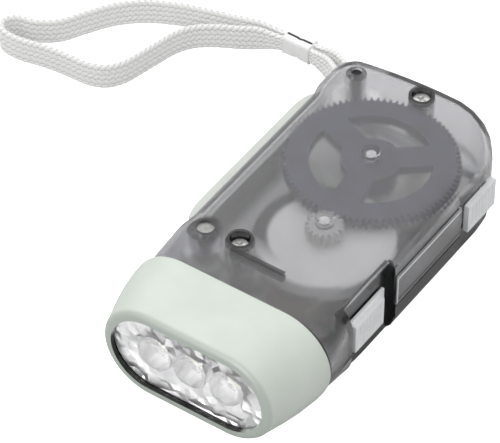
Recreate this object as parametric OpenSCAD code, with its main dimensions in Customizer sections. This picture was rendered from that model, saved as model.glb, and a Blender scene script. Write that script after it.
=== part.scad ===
// Hand-press dynamo flashlight: squeezing the side lever spins a flywheel generator that feeds three lamps.
// Millimetres. It lies on z = 0 with the head toward -Y, the tail toward +Y, switches on +X and lever on -X.

/* [Body] */
// Length from the head's front face to where the tail starts to bulge
body_l = 105; // [102:0.5:115]
// Width over the straight side walls
body_w = 50.6; // [50:0.2:58]
// Height of the flat cover
body_h = 25.2; // [24.8:0.2:29]
// Wall thickness of both half shells
wall = 1.8; // [1.4:0.1:2]
// Height of the parting line between the half shells
split_z = 9.2; // [8:0.2:9.6]
// Rounding of the long top edges
shoulder_r = 5.4; // [4:0.2:5.6]
// Rounding of the long bottom edges
bottom_r = 5; // [3:0.5:5]
// Rounding of the tail's top edge
tail_edge_r = 2.5; // [2:0.1:3.5]
// How far the tail bulges past the body's length
tail_bulge = 1.3; // [0.6:0.1:1.6]
// Plan radius of the tail's sweep
tail_r = 130; // [110:1:150]
// Sideways place of the tail's rearmost point
tail_x = 3; // [1:0.5:4]
// Plan radius of the tail corner beside the strap
strap_corner_r = 6.8; // [6:0.2:8]
// Plan radius of the tail corner beside the lock button
lock_corner_r = 17.4; // [15:0.2:18]
// Width of the shells where they meet the head
neck_w = 54; // [52:0.2:56]
// Length of the flare from the head to the straight walls
neck_l = 20; // [16:0.5:22]
// Depth of the bay that the lever closes into
bay_d = 1; // [0.6:0.1:1.2]

/* [Head] */
// Length of the lamp head
head_l = 19.5; // [19:0.5:24]
// Width of the head at its front
head_front_w = 47.8; // [47.4:0.2:50]
// Height of the head at its front
head_front_h = 26.5; // [26:0.1:26.8]
// Width of the head where it meets the shells
head_w = 55.2; // [54.6:0.2:58]
// Height of the head where it meets the shells
head_h = 26.8; // [26.6:0.1:28]
// Rounding of the head's front edge
head_edge_r = 1.6; // [0.8:0.1:2.4]
// Width of the lamp window
window_w = 42.4; // [40:0.2:43]
// Height of the lamp window
window_h = 20.8; // [19:0.2:21.2]
// Depth of the window's lip in front of the lens
lip_t = 1.1; // [0.9:0.1:2]

/* [Lamp] */
// Thickness of the clear lens
lens_t = 1.4; // [1:0.1:2]
// Overlap of the lens behind the window's lip
lens_lap = 0.9; // [0.6:0.1:1.2]
// Diameter of the raised eyes on the lens
eye_d = 9; // [8:0.1:9.4]
// Height of the raised eyes on the lens
eye_h = 0.9; // [0.6:0.1:1.2]
// Distance between neighbouring lamps
led_pitch = 9.9; // [9.6:0.1:11]
// Diameter of a lamp's dome
led_d = 5; // [4:0.1:5.4]
// Length of a lamp's dome in front of its flange
led_l = 6.2; // [5:0.1:6.6]
// Depth of the reflector
reflector_l = 7.4; // [7:0.1:7.8]
// Wall left at the reflector's rim
reflector_rim = 0.8; // [0.5:0.1:1.2]
// Thickness of both circuit boards
board_t = 1.2; // [0.8:0.1:1.6]

/* [Gear train] */
// Gear module of the lever's rack and the clutch pinion
rack_m = 0.8; // [0.78:0.01:0.82]
// Teeth of the whole circle that the rack is part of
rack_teeth = 109; // [107:1:111]
// Teeth of the clutch pinion
clutch_teeth = 10; // [9:1:11]
// Gear module of the drive gear and the rotor pinion
gear_m = 0.5; // [0.48:0.01:0.505]
// Teeth of the drive gear
gear_teeth = 85; // [80:1:86]
// Teeth of the rotor pinion
rotor_teeth = 17; // [15:1:18]
// Thickness of the drive gear
gear_t = 2.5; // [2:0.1:2.8]
// Thickness of the rack
rack_t = 3.2; // [2.6:0.1:3.2]
// Radial depth of the rack's rim behind its teeth
rack_rim = 4; // [3:0.2:4.6]
// Distance of the drive gear's axis from the tail
gear_inset = 27.5; // [27:0.1:29]
// Sideways place of the drive gear's axis
gear_x = 0.6; // [0:0.1:0.8]
// Radius of the flywheel
flywheel_r = 17.2; // [15:0.1:17.2]
// Thickness of the flywheel
flywheel_t = 3.8; // [3:0.1:4]
// Diameter of the gear and rotor shafts
shaft_d = 2; // [1.6:0.1:2.4]
// Outer radius of the ratchet cup under the drive gear
ratchet_r = 6.6; // [6.2:0.1:7]
// Teeth inside the ratchet cup
ratchet_teeth = 12; // [8:1:16]

/* [Lever] */
// Furthest reach of the lever beyond the bay
lever_out = 4.1; // [3.4:0.1:5]
// Reach of the lever's ends beyond the bay
lever_end = 2.3; // [1.8:0.1:2.6]
// Height of the lever's grip
lever_h = 13.5; // [12:0.1:15]
// Height of the lever's lower edge
lever_z = 4; // [3:0.1:5]
// Length of the lever's grip
lever_l = 55; // [50:0.5:56]
// Skin thickness of the lever's grip
lever_skin = 1.6; // [1.2:0.1:2]
// Diameter of the pivot pin
pivot_d = 3; // [2.4:0.1:3.4]
// Radius of the lever's eye round the pin
eye_r = 4.4; // [3.6:0.1:4.6]
// Opening angle of the lever
lever_travel = 24; // [18:1:26]
// Wire diameter of the return spring
spring_wire = 0.7; // [0.5:0.05:0.9]
// Turns of the return spring
spring_turns = 3; // [2:1:4]

/* [Generator] */
// Radius of the ring magnet
magnet_r = 7; // [6:0.1:7.6]
// Height of the ring magnet
magnet_h = 5.6; // [4:0.1:5.8]
// Width and height of the stator's iron
core_w = 4.4; // [3.6:0.1:4.6]
// Gap between the magnet and the pole faces
air_gap = 0.6; // [0.4:0.1:1]
// Length of the coil
coil_l = 13; // [10:0.5:14]
// Build-up of the winding on its bobbin
coil_t = 1; // [0.6:0.1:1.1]

/* [Controls] */
// Length of the switch's thumb pad
pad_l = 12.2; // [10:0.2:13]
// Height of the switch's thumb pad
pad_h = 8.4; // [7:0.1:9]
// Reach of the thumb pads beyond the side wall
pad_out = 0.7; // [0.4:0.1:1.2]
// Margin of the switch's base plate round its pad
base_margin = 0.4; // [0.3:0.1:0.6]
// Travel of the lamp switch
switch_travel = 3; // [2:0.1:3.4]
// Depth of the switch's pocket below the side wall
switch_depth = 2; // [1.6:0.1:2.2]
// Depth of the lock's pocket below the side wall
thumb_bay = 1; // [0.7:0.1:1]
// Length of the lock's thumb pad
lock_l = 12.4; // [10:0.2:13]
// Travel of the lever lock
lock_travel = 2.4; // [2:0.1:3]

/* [Cell] */
// Diameter of the rechargeable cell
cell_d = 20; // [16:0.1:20.4]
// Height of the rechargeable cell
cell_h = 3.2; // [2.5:0.1:4]

/* [Strap] */
// Width of the braided strap
strap_w = 8; // [7:0.1:8.4]
// Thickness of the braided strap
strap_t = 1.5; // [1.2:0.1:1.8]
// Radius of the post that the strap loops round
post_r = 1.45; // [1.2:0.05:1.6]
// Length of the clasp on the strap
clasp_l = 8; // [7:0.2:9]

/* [Fits] */
// Radial clearance of turning parts on their pins
run_gap = 0.05; // [0.03:0.01:0.08]
// Clearance between parts that move past each other
free_gap = 0.35; // [0.3:0.05:0.4]
// Open seam between the head and the shells
seam = 0.4; // [0.2:0.1:0.6]
// Radius of the case screws' shanks
screw_r = 1.05; // [0.9:0.05:1.2]
// Radius of the case screws' heads
screw_head_r = 2.1; // [1.8:0.1:2.2]

/* [Hidden] */
$fn = 64;
far = 200;
eps = 0.02;

// Planes along the length, across the width and up the height
front_y = -body_l / 2;
tail_y = body_l / 2;
joint_y = front_y + head_l;
shell_y = joint_y + seam;
neck_y = joint_y + neck_l;
side_x = body_w / 2;
bay_x = side_x - bay_d;
thumb_x = side_x - thumb_bay;
switch_x = side_x - switch_depth;
head_z = head_h / 2;
floor_z = wall;
ceil_z = body_h - wall;

// Levels of the mechanism, each one clear of the next
level_gap = 1;
rack_z = split_z + level_gap;
flywheel_z = rack_z + rack_t + level_gap;
gear_z = flywheel_z + flywheel_t + level_gap + 0.2;
gear_top = gear_z + gear_t;
magnet_z = floor_z + 1.7;
magnet_top = magnet_z + magnet_h;
core_z = magnet_z + magnet_h / 2;

// Axes of the gear train: the gear is set from the tail, the lever pivot and the rotor follow from the teeth
rack_a = 67.5;
rotor_a = -82.8;
rack_r = rack_m * rack_teeth / 2;
rack_cd = rack_m * (rack_teeth + clutch_teeth) / 2;
rotor_cd = gear_m * (gear_teeth + rotor_teeth) / 2;
gear_p = [gear_x, tail_y - gear_inset];
pivot_p = gear_p - polar(rack_cd, rack_a);
rotor_p = gear_p + polar(rotor_cd, rotor_a);
gear_tip_r = gear_m * (gear_teeth / 2 + 1);
shaft_r = shaft_d / 2;
pivot_r = pivot_d / 2;
rivet_r = pivot_r + 0.65;
rivet_z = body_h - 1.6;
dome_r = 2.3;
dome_h = 0.8;

// Flat panel on the right wall between the pockets
panel_out = 0.4;
panel_z = [bottom_r + 0.2, body_h - shoulder_r - 0.4];

// Shadow groove along the parting line, in the upper shell's rim
groove_h = 0.4;
groove_d = 0.5;

// Screws, bosses and the strap post
screw_front_p = pivot_p + [9, 1.3];
screw_rear_p = [-0.2, tail_y - 3.7];
screw_pilot = 0.85 * screw_r;
screw_pass = screw_r + 0.15;
counterbore_r = screw_head_r + 0.4;
boss_wall = 1.1;
screw_seat_z = flywheel_z + 0.2;
screw_head_t = 1.1;
front_head_z = ceil_z - 1.4;
rear_head_z = ceil_z - 0.8;
post_p = [tail_x - 21, tail_y - 5.6];
post_boss_r = post_r + 1.15;
window_z = [6.5, 15.8];

// Thumb controls
switch_z = 13;
lock_z = 12.4;
switch_y = neck_y - 1;
base_y = [switch_y - pad_l / 2 - base_margin, switch_y + pad_l / 2 + base_margin + 2];
base_h = pad_h + 2 * base_margin;
switch_bay = [base_y[0] - 1, base_y[1] + switch_travel + 0.3];
lock_y = tail_y - 16.7;
lock_bay = [lock_y - lock_l / 2 - lock_travel - 0.5, lock_y + lock_l / 2 + 1.1];
pad_x = side_x + pad_out;
plate_t = 0.8;
plate_gap = 0.3;
ridge_h = 0.15;
backing_t = 1.8;
stem_l = 3;
stem_h = 2.6;

// Lock bar, its finger and the barb on the lever that the finger holds
barb_y = tail_y - 17.8;
barb_w = 2.3;
barb_t = 1.2;
barb_x = pivot_p[0] - 0.8;
bar_w = 2;
bar_h = 2.8;
bar_z = rack_z + rack_t + 0.4;
bar_y = barb_y + barb_w + lock_travel + 0.5;
finger_w = 1.6;
finger_l = bar_y - barb_y - barb_w - 1.1;
finger_x = barb_x - finger_w - 0.6;

// Lever grip and the point where its arm joins it
grip_y = [tail_y - 10.5 - lever_l, tail_y - 10.5];
arm_p = [-bay_x - free_gap - 1.2, grip_y[0] + 2.6];
arm_v = arm_p - pivot_p;
arm_w = 4.4;

// Lamp stack behind the window
lens_y = front_y + lip_t;
lens_gap = 0.2;
reflector_y = lens_y + lens_t + lens_gap;
flange_t = 1;
flange_y = reflector_y + reflector_l;
led_board_y = flange_y + flange_t;
collar_y = led_board_y + board_t;
stack_w = window_w + 2 * lens_lap;
stack_h = window_h + 2 * lens_lap;
stack_gap = 0.1;
collar_t = 1.4;

// Strap route: round numbers, in plan and height, from the clasp and back to it
strap_sep = 1;
clasp_bite = 1;
slit_w = 0.7;
slit_d = 0.6;
clasp_p = [-46.5, 65.2, strap_w / 2 + 0.7];
neck_route = [[-37, 65.2, 5.5], [-31, 62, 6.9], [-25.4, 56.8, 8.8], [-20.9, 52.5, 10.2], [-16.5, 49.2, 11.1],
    [-15.4, 46.3, 11.1], [-17.3, 44.4, 11.1], [-19.8, 44.8, 11.1], [-20.7, 46.9, 11.1], [-23.4, 50.2, 10.2],
    [-27.8, 54.7, 8.8], [-32.6, 59.2, 6.9], [-37.8, 62.5, 5.5]];
loop_z = strap_w / 2 + 0.1;
loop_plan = [[-57, 64.8], [-63, 63.3], [-71, 61], [-79, 58.4], [-87, 54.2], [-93, 48.4], [-97, 42], [-100.5, 36],
    [-105.5, 32.2], [-110.4, 30.8], [-112.6, 27.8], [-110.4, 24.8], [-105, 24.4], [-99, 25.6], [-92, 26.4],
    [-86, 26.6], [-81.4, 28.2], [-78.4, 31.8], [-76.8, 37], [-75.4, 43], [-73.8, 49], [-71.2, 53.4], [-67, 56.8],
    [-62, 59.6], [-56.5, 62.4]];
loop_route = [for (p = loop_plan) [p[0], p[1], p[0] < -60 ? loop_z : loop_z + 0.3]];

// Number helpers
function mix(a, b, t) = a + (b - a) * t;
function ease(t) = let (s = min(1, max(0, t))) s * s * (3 - 2 * s);
function polar(r, a) = r * [cos(a), sin(a)];
function unit(v) = v / norm(v);
function about(c, half) = [c - half, c + half];

// Distance that a rounded edge of radius r has drawn in at height h above where its rounding starts
function edge_in(h, r) = h <= 0 ? 0 : r - sqrt(max(0, r * r - min(h, r) * min(h, r)));

// Half width of the housing, d inside its outer skin: a full-round neck that becomes a shouldered box
function half_w(y, z, d) =
    let (t = ease((y - joint_y) / neck_l),
        r_top = mix(body_h / 2, shoulder_r, t) - d,
        r_low = mix(body_h / 2, bottom_r, t) - d)
    mix(neck_w, body_w, t) / 2 - d - edge_in(z - body_h + d + r_top, r_top) - edge_in(d + r_low - z, r_low);

// Depth of the lever's bay along the left wall
function bay(y) = bay_d * ease((y - neck_y + 7) / 5) * (1 - ease((y - tail_y + 16.5) / 5));

// Plan outline of the housing at height z, d inside its outer skin, from the right front round the tail
function body_ring(z, d, start_y) =
    let (tail_d = d + edge_in(z - body_h + tail_edge_r, max(0.6, tail_edge_r - d))
            + edge_in(bottom_r - z, bottom_r - d),
        side_d = side_x - half_w(neck_y, z, d),
        centre = [tail_x, tail_y + tail_bulge - tail_r],
        lock_c = [side_x - lock_corner_r,
            centre[1] + sqrt(pow(tail_r - lock_corner_r, 2) - pow(side_x - lock_corner_r - tail_x, 2))],
        strap_c = [strap_corner_r - side_x,
            centre[1] + sqrt(pow(tail_r - strap_corner_r, 2) - pow(side_x - strap_corner_r + tail_x, 2))],
        lock_a = atan2(lock_c[1] - centre[1], lock_c[0] - centre[0]),
        strap_a = atan2(strap_c[1] - centre[1], strap_c[0] - centre[0]),
        neck = [for (i = [0 : 7]) mix(start_y, neck_y, i / 7)],
        stations = concat(neck, [for (i = [0 : 4]) tail_y - 16.5 + 1.25 * i]),
        n = 6)
    concat(
        [for (y = neck) [half_w(y, z, d), y, z]],
        [for (i = [0 : n]) let (t = i / n, r = lock_corner_r - mix(side_d, tail_d, t))
            [lock_c[0] + r * cos(t * lock_a), lock_c[1] + r * sin(t * lock_a), z]],
        [for (i = [1 : 8]) let (a = mix(lock_a, strap_a, i / 9))
            [centre[0] + (tail_r - tail_d) * cos(a), centre[1] + (tail_r - tail_d) * sin(a), z]],
        [for (i = [0 : n]) let (t = i / n, a = mix(strap_a, 180, t), r = strap_corner_r - mix(tail_d, side_d, t))
            [strap_c[0] + r * cos(a), strap_c[1] + r * sin(a), z]],
        [for (i = [len(stations) - 1 : -1 : 0]) let (y = stations[i]) [bay(y) - half_w(y, z, d), y, z]]);

// Outline of a stadium standing across the Y axis, for lofting along it
function stadium_ring(y, w, h, n) =
    [for (i = [0 : n - 1]) let (a = -(i + 0.5) * 360 / n)
        [sign(cos(a)) * (w - h) / 2 + h / 2 * cos(a), y, head_z + h / 2 * sin(a)]];

// Tooth points of a spur gear: straight flanks with running backlash
function tooth(n, m, a) =
    let (p = 360 / n, root = m * (n / 2 - 1.25), tip = m * (n / 2 + 1))
    [polar(root, a - 0.32 * p), polar(tip, a - 0.1 * p), polar(tip, a + 0.1 * p), polar(root, a + 0.32 * p)];
function gear_points(n, m, phase) = [for (k = [0 : n - 1]) each tooth(n, m, phase + 360 * k / n)];

// Smooth curve through route points
function spline(p, i, t) =
    let (n = len(p), a = p[max(0, i - 1)], b = p[i], c = p[min(n - 1, i + 1)], d = p[min(n - 1, i + 2)])
    0.5 * (2 * b + (c - a) * t + (2 * a - 5 * b + 4 * c - d) * t * t + (3 * b - a - 3 * c + d) * t * t * t);
function smooth(p, steps) =
    concat([for (i = [0 : len(p) - 2], k = [0 : steps - 1]) spline(p, i, k / steps)], [p[len(p) - 1]]);
function heading(p, i) = unit(p[min(len(p) - 1, i + 1)] - p[max(0, i - 1)]);

// Rings of a flat band that stands on edge along a route
function band_rings(p, w, t) =
    let (c = 0.3 * t, outline = [[t / 2, c - w / 2], [t / 2, w / 2 - c], [t / 2 - c, w / 2], [c - t / 2, w / 2],
            [-t / 2, w / 2 - c], [-t / 2, c - w / 2], [c - t / 2, -w / 2], [t / 2 - c, -w / 2]])
    [for (i = [0 : len(p) - 1]) let (h = heading(p, i), side = unit([h[1], -h[0], 0]))
        [for (q = outline) p[i] + q[0] * side + [0, 0, q[1]]]];

// Rings of a round wire along a route
function wire_rings(p, r, n) =
    [for (i = [0 : len(p) - 1]) let (h = heading(p, i), ref = abs(h[2]) > 0.9 ? [1, 0, 0] : [0, 0, 1],
            u = unit(cross(h, ref)), v = cross(u, h))
        [for (k = [0 : n - 1]) p[i] + r * (cos(360 * k / n) * u + sin(360 * k / n) * v)]];

// Solid through a stack of rings that turn anticlockwise round the stacking direction
module skin(rings) {
    n = len(rings[0]);
    m = len(rings);
    points = [for (r = rings) each r];
    sides = [for (j = [0 : m - 2], i = [0 : n - 1])
        let (a = j * n + i, b = j * n + (i + 1) % n) each [[a, a + n, b + n], [a, b + n, b]]];
    cap = [for (k = [0 : floor((n - 3) / 2)])
        each concat([[k, k + 1, n - 1 - k]], k + 1 < n - 2 - k ? [[k + 1, n - 2 - k, n - 1 - k]] : [])];
    top = [for (t = cap) [for (i = [2 : -1 : 0]) t[i] + (m - 1) * n]];
    polyhedron(points, concat(cap, sides, top));
}

module stadium(w, h) {
    square([w - h, h], center = true);
    for (s = [-1, 1])
        translate([s * (w - h) / 2, 0])
            circle(d = h);
}

// Stadium bar along Y between two planes, on the head's axis
module head_bar(w, h, y0, y1) {
    translate([0, y1, head_z])
        rotate([90, 0, 0])
            linear_extrude(y1 - y0)
                stadium(w, h);
}

// Upright post between two heights
module post(p, r, z0, z1) {
    translate([p[0], p[1], z0])
        cylinder(r = r, h = z1 - z0);
}

module block(x, y, z) {
    translate([x[0], y[0], z[0]])
        cube([x[1] - x[0], y[1] - y[0], z[1] - z[0]]);
}

// The housing's form, d inside its outer skin
module body_form(d, start_y, levels) {
    skin([for (i = [0 : levels]) body_ring(mix(d, body_h - d, (1 - cos(180 * i / levels)) / 2), d, start_y)]);
}

// What both half shells share: walls, head collar, thumb bays and the strap's window
module housing_half(z0, z1) {
    difference() {
        union() {
            difference() {
                intersection() {
                    body_form(0, shell_y, 16);
                    block([-far, far], [-far, far], [z0, z1]);
                }
                body_form(wall, shell_y + wall, 12);
            }
            block([switch_x - backing_t, switch_x + 0.1], [switch_bay[0] - 1.5, switch_bay[1] + 0.6],
                [max(z0, floor_z + 2.2), min(z1, ceil_z - 1.6)]);
            block([side_x - 0.6, side_x + panel_out], [switch_bay[1] - 0.1, lock_bay[0] + 0.1],
                [max(z0, panel_z[0]), min(z1, panel_z[1])]);
            intersection() {
                head_bar(stack_w, stack_h, collar_y, shell_y + 0.6);
                block([-far, far], [-far, far], [z0, z1]);
            }
        }
        head_bar(stack_w - 2 * collar_t, stack_h - 2 * collar_t, collar_y - 1, shell_y + wall + 1);
        block([switch_x, far], switch_bay, [-1, far]);
        block([thumb_x, far], lock_bay, [-1, far]);
        block([-far, post_p[0] + 4.5], [post_p[1] - 2.4, far], window_z);
        difference() {
            block([-far, far], [shell_y, far], [split_z, split_z + groove_h]);
            body_form(groove_d, shell_y - 1, 16);
        }
    }
}

module lower_shell() {
    color("dimgray")
    difference() {
        union() {
            housing_half(-1, split_z);
            post(pivot_p, eye_r - 0.4, floor_z - 0.5, rack_z - free_gap);
            post(gear_p, shaft_r + 1.6, floor_z - 0.5, rack_z - free_gap);
            post(rotor_p, shaft_r + 1.4, floor_z - 0.5, magnet_z - free_gap);
            post(screw_front_p, screw_pass + 2, floor_z - 0.5, screw_seat_z);
            post(screw_rear_p, screw_pass + 1.8, floor_z + 1.6, split_z);
            post(post_p, post_boss_r, floor_z - 0.5, window_z[0] - 0.4);
            post([pivot_p[0] + 8, bar_y + bar_w / 2], 1.6, floor_z - 0.5, bar_z - free_gap);
            for (s = [-1, 1])
                block([rotor_p[0] + s * (magnet_r + 2.4) - 1.4, rotor_p[0] + s * (magnet_r + 2.4) + 1.4],
                    [rotor_p[1] - 1, rotor_p[1] + 2], [floor_z - 0.5, core_z - core_w / 2]);
            for (y = [board_y[0] + 2, board_y[1] - 3.5])
                union() {
                    block([board_x - 1.2, board_x], [y, y + 1.5], [floor_z - 0.5, board_z + 3]);
                    block([board_x - 1.2, board_x + board_t], [y, y + 1.5], [floor_z - 0.5, board_z]);
                }
        }
        post(pivot_p, pivot_r + eps, floor_z + 1, far);
        post(gear_p, shaft_r + eps, floor_z + 1, far);
        post(rotor_p, shaft_r + eps, floor_z - 1, far);
        post(screw_front_p, screw_pilot, floor_z + 4, far);
        post(screw_rear_p, screw_pilot, floor_z + 2.6, far);
        post(post_p, post_r + eps, floor_z, far);
    }
}

module upper_shell() {
    color("gray")
    difference() {
        union() {
            housing_half(split_z, far);
            post(pivot_p, eye_r - 0.35, spring_top + free_gap, ceil_z + 0.8);
            post(gear_p, shaft_r + 1.4, gear_top + 0.6, ceil_z + 0.8);
            post(rotor_p, shaft_r + 1.4, gear_top + 0.6, ceil_z + 0.8);
            post(screw_front_p, counterbore_r + boss_wall, screw_seat_z, ceil_z + 0.8);
            difference() {
                post(screw_rear_p, counterbore_r + 0.8, split_z, ceil_z + 0.5);
                post(gear_p, gear_tip_r + free_gap, gear_z - free_gap, gear_top + free_gap);
            }
            block([screw_front_p[0], screw_front_p[0] + 15], [screw_front_p[1] - 4.5, screw_front_p[1] - 3.1],
                [ceil_z - 1.4, ceil_z + 0.5]);
            post(post_p, post_boss_r, window_z[1] + 0.4, ceil_z + 0.8);
            for (p = [gear_p, rotor_p])
                translate([p[0], p[1], body_h - 0.1])
                    rotate_extrude($fn = 32)
                        polygon(concat([[0, 0]], [for (i = [0 : 5]) [dome_r * cos(18 * i), dome_h * sin(18 * i)]]));
        }
        post(pivot_p, pivot_r + eps, 0, far);
        post(gear_p, shaft_r + eps, 0, ceil_z + 0.6);
        post(rotor_p, shaft_r + eps, 0, ceil_z + 0.6);
        post(pivot_p, rivet_r + eps, rivet_z, far);
        post(screw_front_p, screw_pass, 0, far);
        post(screw_rear_p, screw_pass, 0, far);
        post(screw_front_p, counterbore_r, front_head_z, far);
        post(screw_rear_p, counterbore_r, rear_head_z, far);
        post(post_p, post_r + eps, 0, far);
        lever_slots();
        block([switch_x - backing_t - 1, far],
            [switch_y - stem_l / 2 - free_gap, switch_y + stem_l / 2 + switch_travel + free_gap],
            about(switch_z, stem_h / 2 + free_gap));
        block([thumb_x - 8, far], [bar_y - lock_travel - free_gap, bar_y + bar_w + free_gap],
            [bar_z - free_gap, bar_z + bar_h + free_gap]);
    }
}

// Slots in the left wall for the lever's arm, rack and lock tongue, open at the parting line
module lever_slots() {
    rack_low = sqrt(pow(rack_r - rack_rim - 2, 2) - pow(side_x + pivot_p[0], 2)) - 0.8;
    rack_y = [pivot_p[1] + rack_low, pivot_p[1] + rack_r + rack_m + 0.3];
    x = [-far, -side_x + bay_d + wall + 3.4];
    block(x, rack_y, [split_z - 1, rack_z + rack_t + free_gap]);
    block(x, [pivot_p[1] - 0.6, arm_p[1] + 3], [split_z - 1, rack_z + rack_t + free_gap]);
    block(x, [barb_y - 0.6, barb_y + barb_w + 0.6], [split_z - 1, bar_z + bar_h + free_gap]);
}

module head_bezel() {
    edge = [for (i = [0 : 4]) head_edge_r * [1 - sin(22.5 * i), 1 - cos(22.5 * i)]];
    color("honeydew")
    difference() {
        skin(concat(
            [for (e = edge) stadium_ring(front_y + e[1], head_front_w - 2 * e[0], head_front_h - 2 * e[0], 56)],
            [for (t = [0.3, 0.55, 0.8, 0.95]) stadium_ring(mix(front_y + head_edge_r, joint_y, t),
                mix(head_front_w, head_w, sin(90 * t)), mix(head_front_h, head_h, sin(90 * t)), 56)],
            [stadium_ring(joint_y, head_w - 0.3, head_h - 0.3, 56)]));
        head_bar(window_w, window_h, front_y - 1, lens_y + 1);
        head_bar(stack_w + 2 * stack_gap, stack_h + 2 * stack_gap, lens_y, joint_y + 1);
    }
}

module lens() {
    cap_r = (eye_d * eye_d / 4 + eye_h * eye_h) / (2 * eye_h);
    color("lightcyan")
    union() {
        head_bar(stack_w, stack_h, lens_y, lens_y + lens_t);
        for (k = [-1 : 1])
            intersection() {
                translate([k * led_pitch, lens_y - eye_h + cap_r, head_z])
                    sphere(r = cap_r);
                block([-far, far], [lens_y - eye_h - 1, lens_y + 0.2], [0, far]);
            }
    }
}

module reflector() {
    cup_r = (led_pitch - reflector_rim) / 2;
    color("silver")
    difference() {
        head_bar(stack_w, stack_h, reflector_y, flange_y);
        for (k = [-1 : 1])
            translate([k * led_pitch, reflector_y - eps, head_z])
                rotate([-90, 0, 0]) {
                    cylinder(r1 = cup_r, r2 = led_d / 2 + 0.2, h = reflector_l - 1);
                    cylinder(r = led_d / 2 + 0.15, h = reflector_l + 1);
                }
    }
}

module led(k) {
    color("white")
    translate([k * led_pitch, led_board_y, head_z])
        rotate([90, 0, 0]) {
            cylinder(r = led_d / 2 + 0.4, h = flange_t);
            cylinder(d = led_d, h = flange_t + led_l - led_d / 2);
            translate([0, 0, flange_t + led_l - led_d / 2])
                sphere(d = led_d);
        }
}

module led_board() {
    color("seagreen")
    head_bar(stack_w, stack_h, led_board_y, collar_y);
}

module case_screw(p, z, low) {
    color("silver")
    difference() {
        union() {
            post(p, screw_head_r, z, z + screw_head_t);
            post(p, screw_r, low, z + 0.1);
        }
        for (a = [0, 90])
            translate([p[0], p[1], z + screw_head_t])
                rotate(a)
                    cube([2.4, 0.6, 1.4], center = true);
    }
}

// Grip: a shallow barrel turned about a far axis, hollow on the inside
module lever_grip() {
    sag = lever_out - lever_end;
    r = (lever_l * lever_l / 4 + sag * sag) / (2 * sag);
    round_r = 2;
    intersection() {
        translate([r - bay_x - lever_out, grip_y[1] - lever_l / 2, lever_z])
            difference() {
                rotate_extrude($fn = 720)
                    translate([r - 8, 0]) {
                        translate([0, round_r])
                            square([8, lever_h - 2 * round_r]);
                        square([8 - round_r, lever_h]);
                        for (z = [round_r, lever_h - round_r])
                            translate([8 - round_r, z])
                                circle(round_r);
                    }
                rotate_extrude($fn = 720)
                    translate([r - 9, lever_skin])
                        square([9 - lever_skin, lever_h - 2 * lever_skin]);
            }
        difference() {
            block([-far, -bay_x - free_gap], grip_y, [0, far]);
            block([-side_x - free_gap, far], [tail_y - 16.8, far], [0, far]);
        }
    }
}

module squeeze_lever() {
    pitch = 360 / rack_teeth;
    first = -ceil(lever_travel / pitch) - 1;
    root = rack_r - 1.25 * rack_m;
    join_a = acos((-bay_x - lever_out + 0.8 - pivot_p[0]) / rack_r);
    low_a = rack_a + first * pitch - pitch;
    color("honeydew")
    difference() {
        union() {
            lever_grip();
            translate([pivot_p[0], pivot_p[1], rack_z])
                linear_extrude(rack_t) {
                    polygon(concat(
                        [for (k = [first : 1]) each tooth(rack_teeth, rack_m, rack_a + k * pitch)],
                        [for (i = [1 : 16]) polar(root, mix(rack_a + 1.5 * pitch, join_a, i / 16))],
                        [for (i = [24 : -1 : 0]) polar(root - rack_rim, mix(low_a, join_a, i / 24))]));
                    circle(eye_r);
                    rotate(atan2(arm_v[1], arm_v[0]))
                        translate([0, -arm_w / 2])
                            square([norm(arm_v) + 0.5, arm_w]);
                }
            block([-bay_x - 2, barb_x + barb_t], [barb_y, barb_y + barb_w], [rack_z, rack_z + 2]);
            block([barb_x, barb_x + barb_t], [barb_y, barb_y + barb_w], [rack_z, bar_z + bar_h]);
        }
        post(pivot_p, pivot_r + run_gap, 0, far);
    }
}

module pivot_pin() {
    color("silver")
    union() {
        post(pivot_p, pivot_r, floor_z + 1, rivet_z + 0.1);
        post(pivot_p, rivet_r, rivet_z, body_h - 0.7);
    }
}

// Return spring: coils round the pin above the lever's eye, one leg on the lever's arm, the other on the left wall
spring_r = pivot_r + spring_wire / 2 + 0.9;
spring_pitch = spring_wire + 0.6;
spring_z = rack_z + rack_t + free_gap + spring_wire / 2;
spring_top = spring_z + spring_turns * spring_pitch + spring_wire / 2;
spring_from = 60;
function spring_point(t) = concat(pivot_p + polar(spring_r, spring_from + 360 * t), [spring_z + spring_pitch * t]);
function spring_route() =
    let (n = 16 * spring_turns, a = spring_point(0), b = spring_point(spring_turns),
        ta = polar(1, spring_from - 90), tb = polar(1, spring_from + 90))
    concat([for (k = [3 : -1 : 1]) a + 1.5 * k * [ta[0], ta[1], 0]], [for (i = [0 : n]) spring_point(i / 16)],
        [for (k = [1 : 3]) b + 1.5 * k * [tb[0], tb[1], 0]]);
module return_spring() {
    color("darkgray")
    skin(wire_rings(spring_route(), spring_wire / 2, 6));
}
// Least gap between the wire's neighbouring turns, measured on the route's points, at least 0.4
spring_gap = min([for (i = [0 : 16 * spring_turns - 12], k = [12 : 20])
    norm(spring_point(i / 16) - spring_point((i + k) / 16))]) - spring_wire;
echo(spring_gap = spring_gap);

module clutch_pinion() {
    color("white")
    difference() {
        translate([gear_p[0], gear_p[1], rack_z])
            union() {
                linear_extrude(rack_t)
                    polygon(gear_points(clutch_teeth, rack_m, rack_a + 180 + 180 / clutch_teeth));
                cylinder(r = shaft_r + 1.1, h = gear_z - rack_z - free_gap);
                translate([0, 0, rack_t + level_gap + 0.4])
                    linear_extrude(2.6)
                        for (a = [20, 200])
                            rotate(a)
                                polygon([[0, 2.1], [2.4, 3.1], [3.7, 2], [3.2, 1.5], [2.2, 2.2], [1.4, 0]]);
            }
        post(gear_p, shaft_r + run_gap, 0, far);
    }
}

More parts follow.
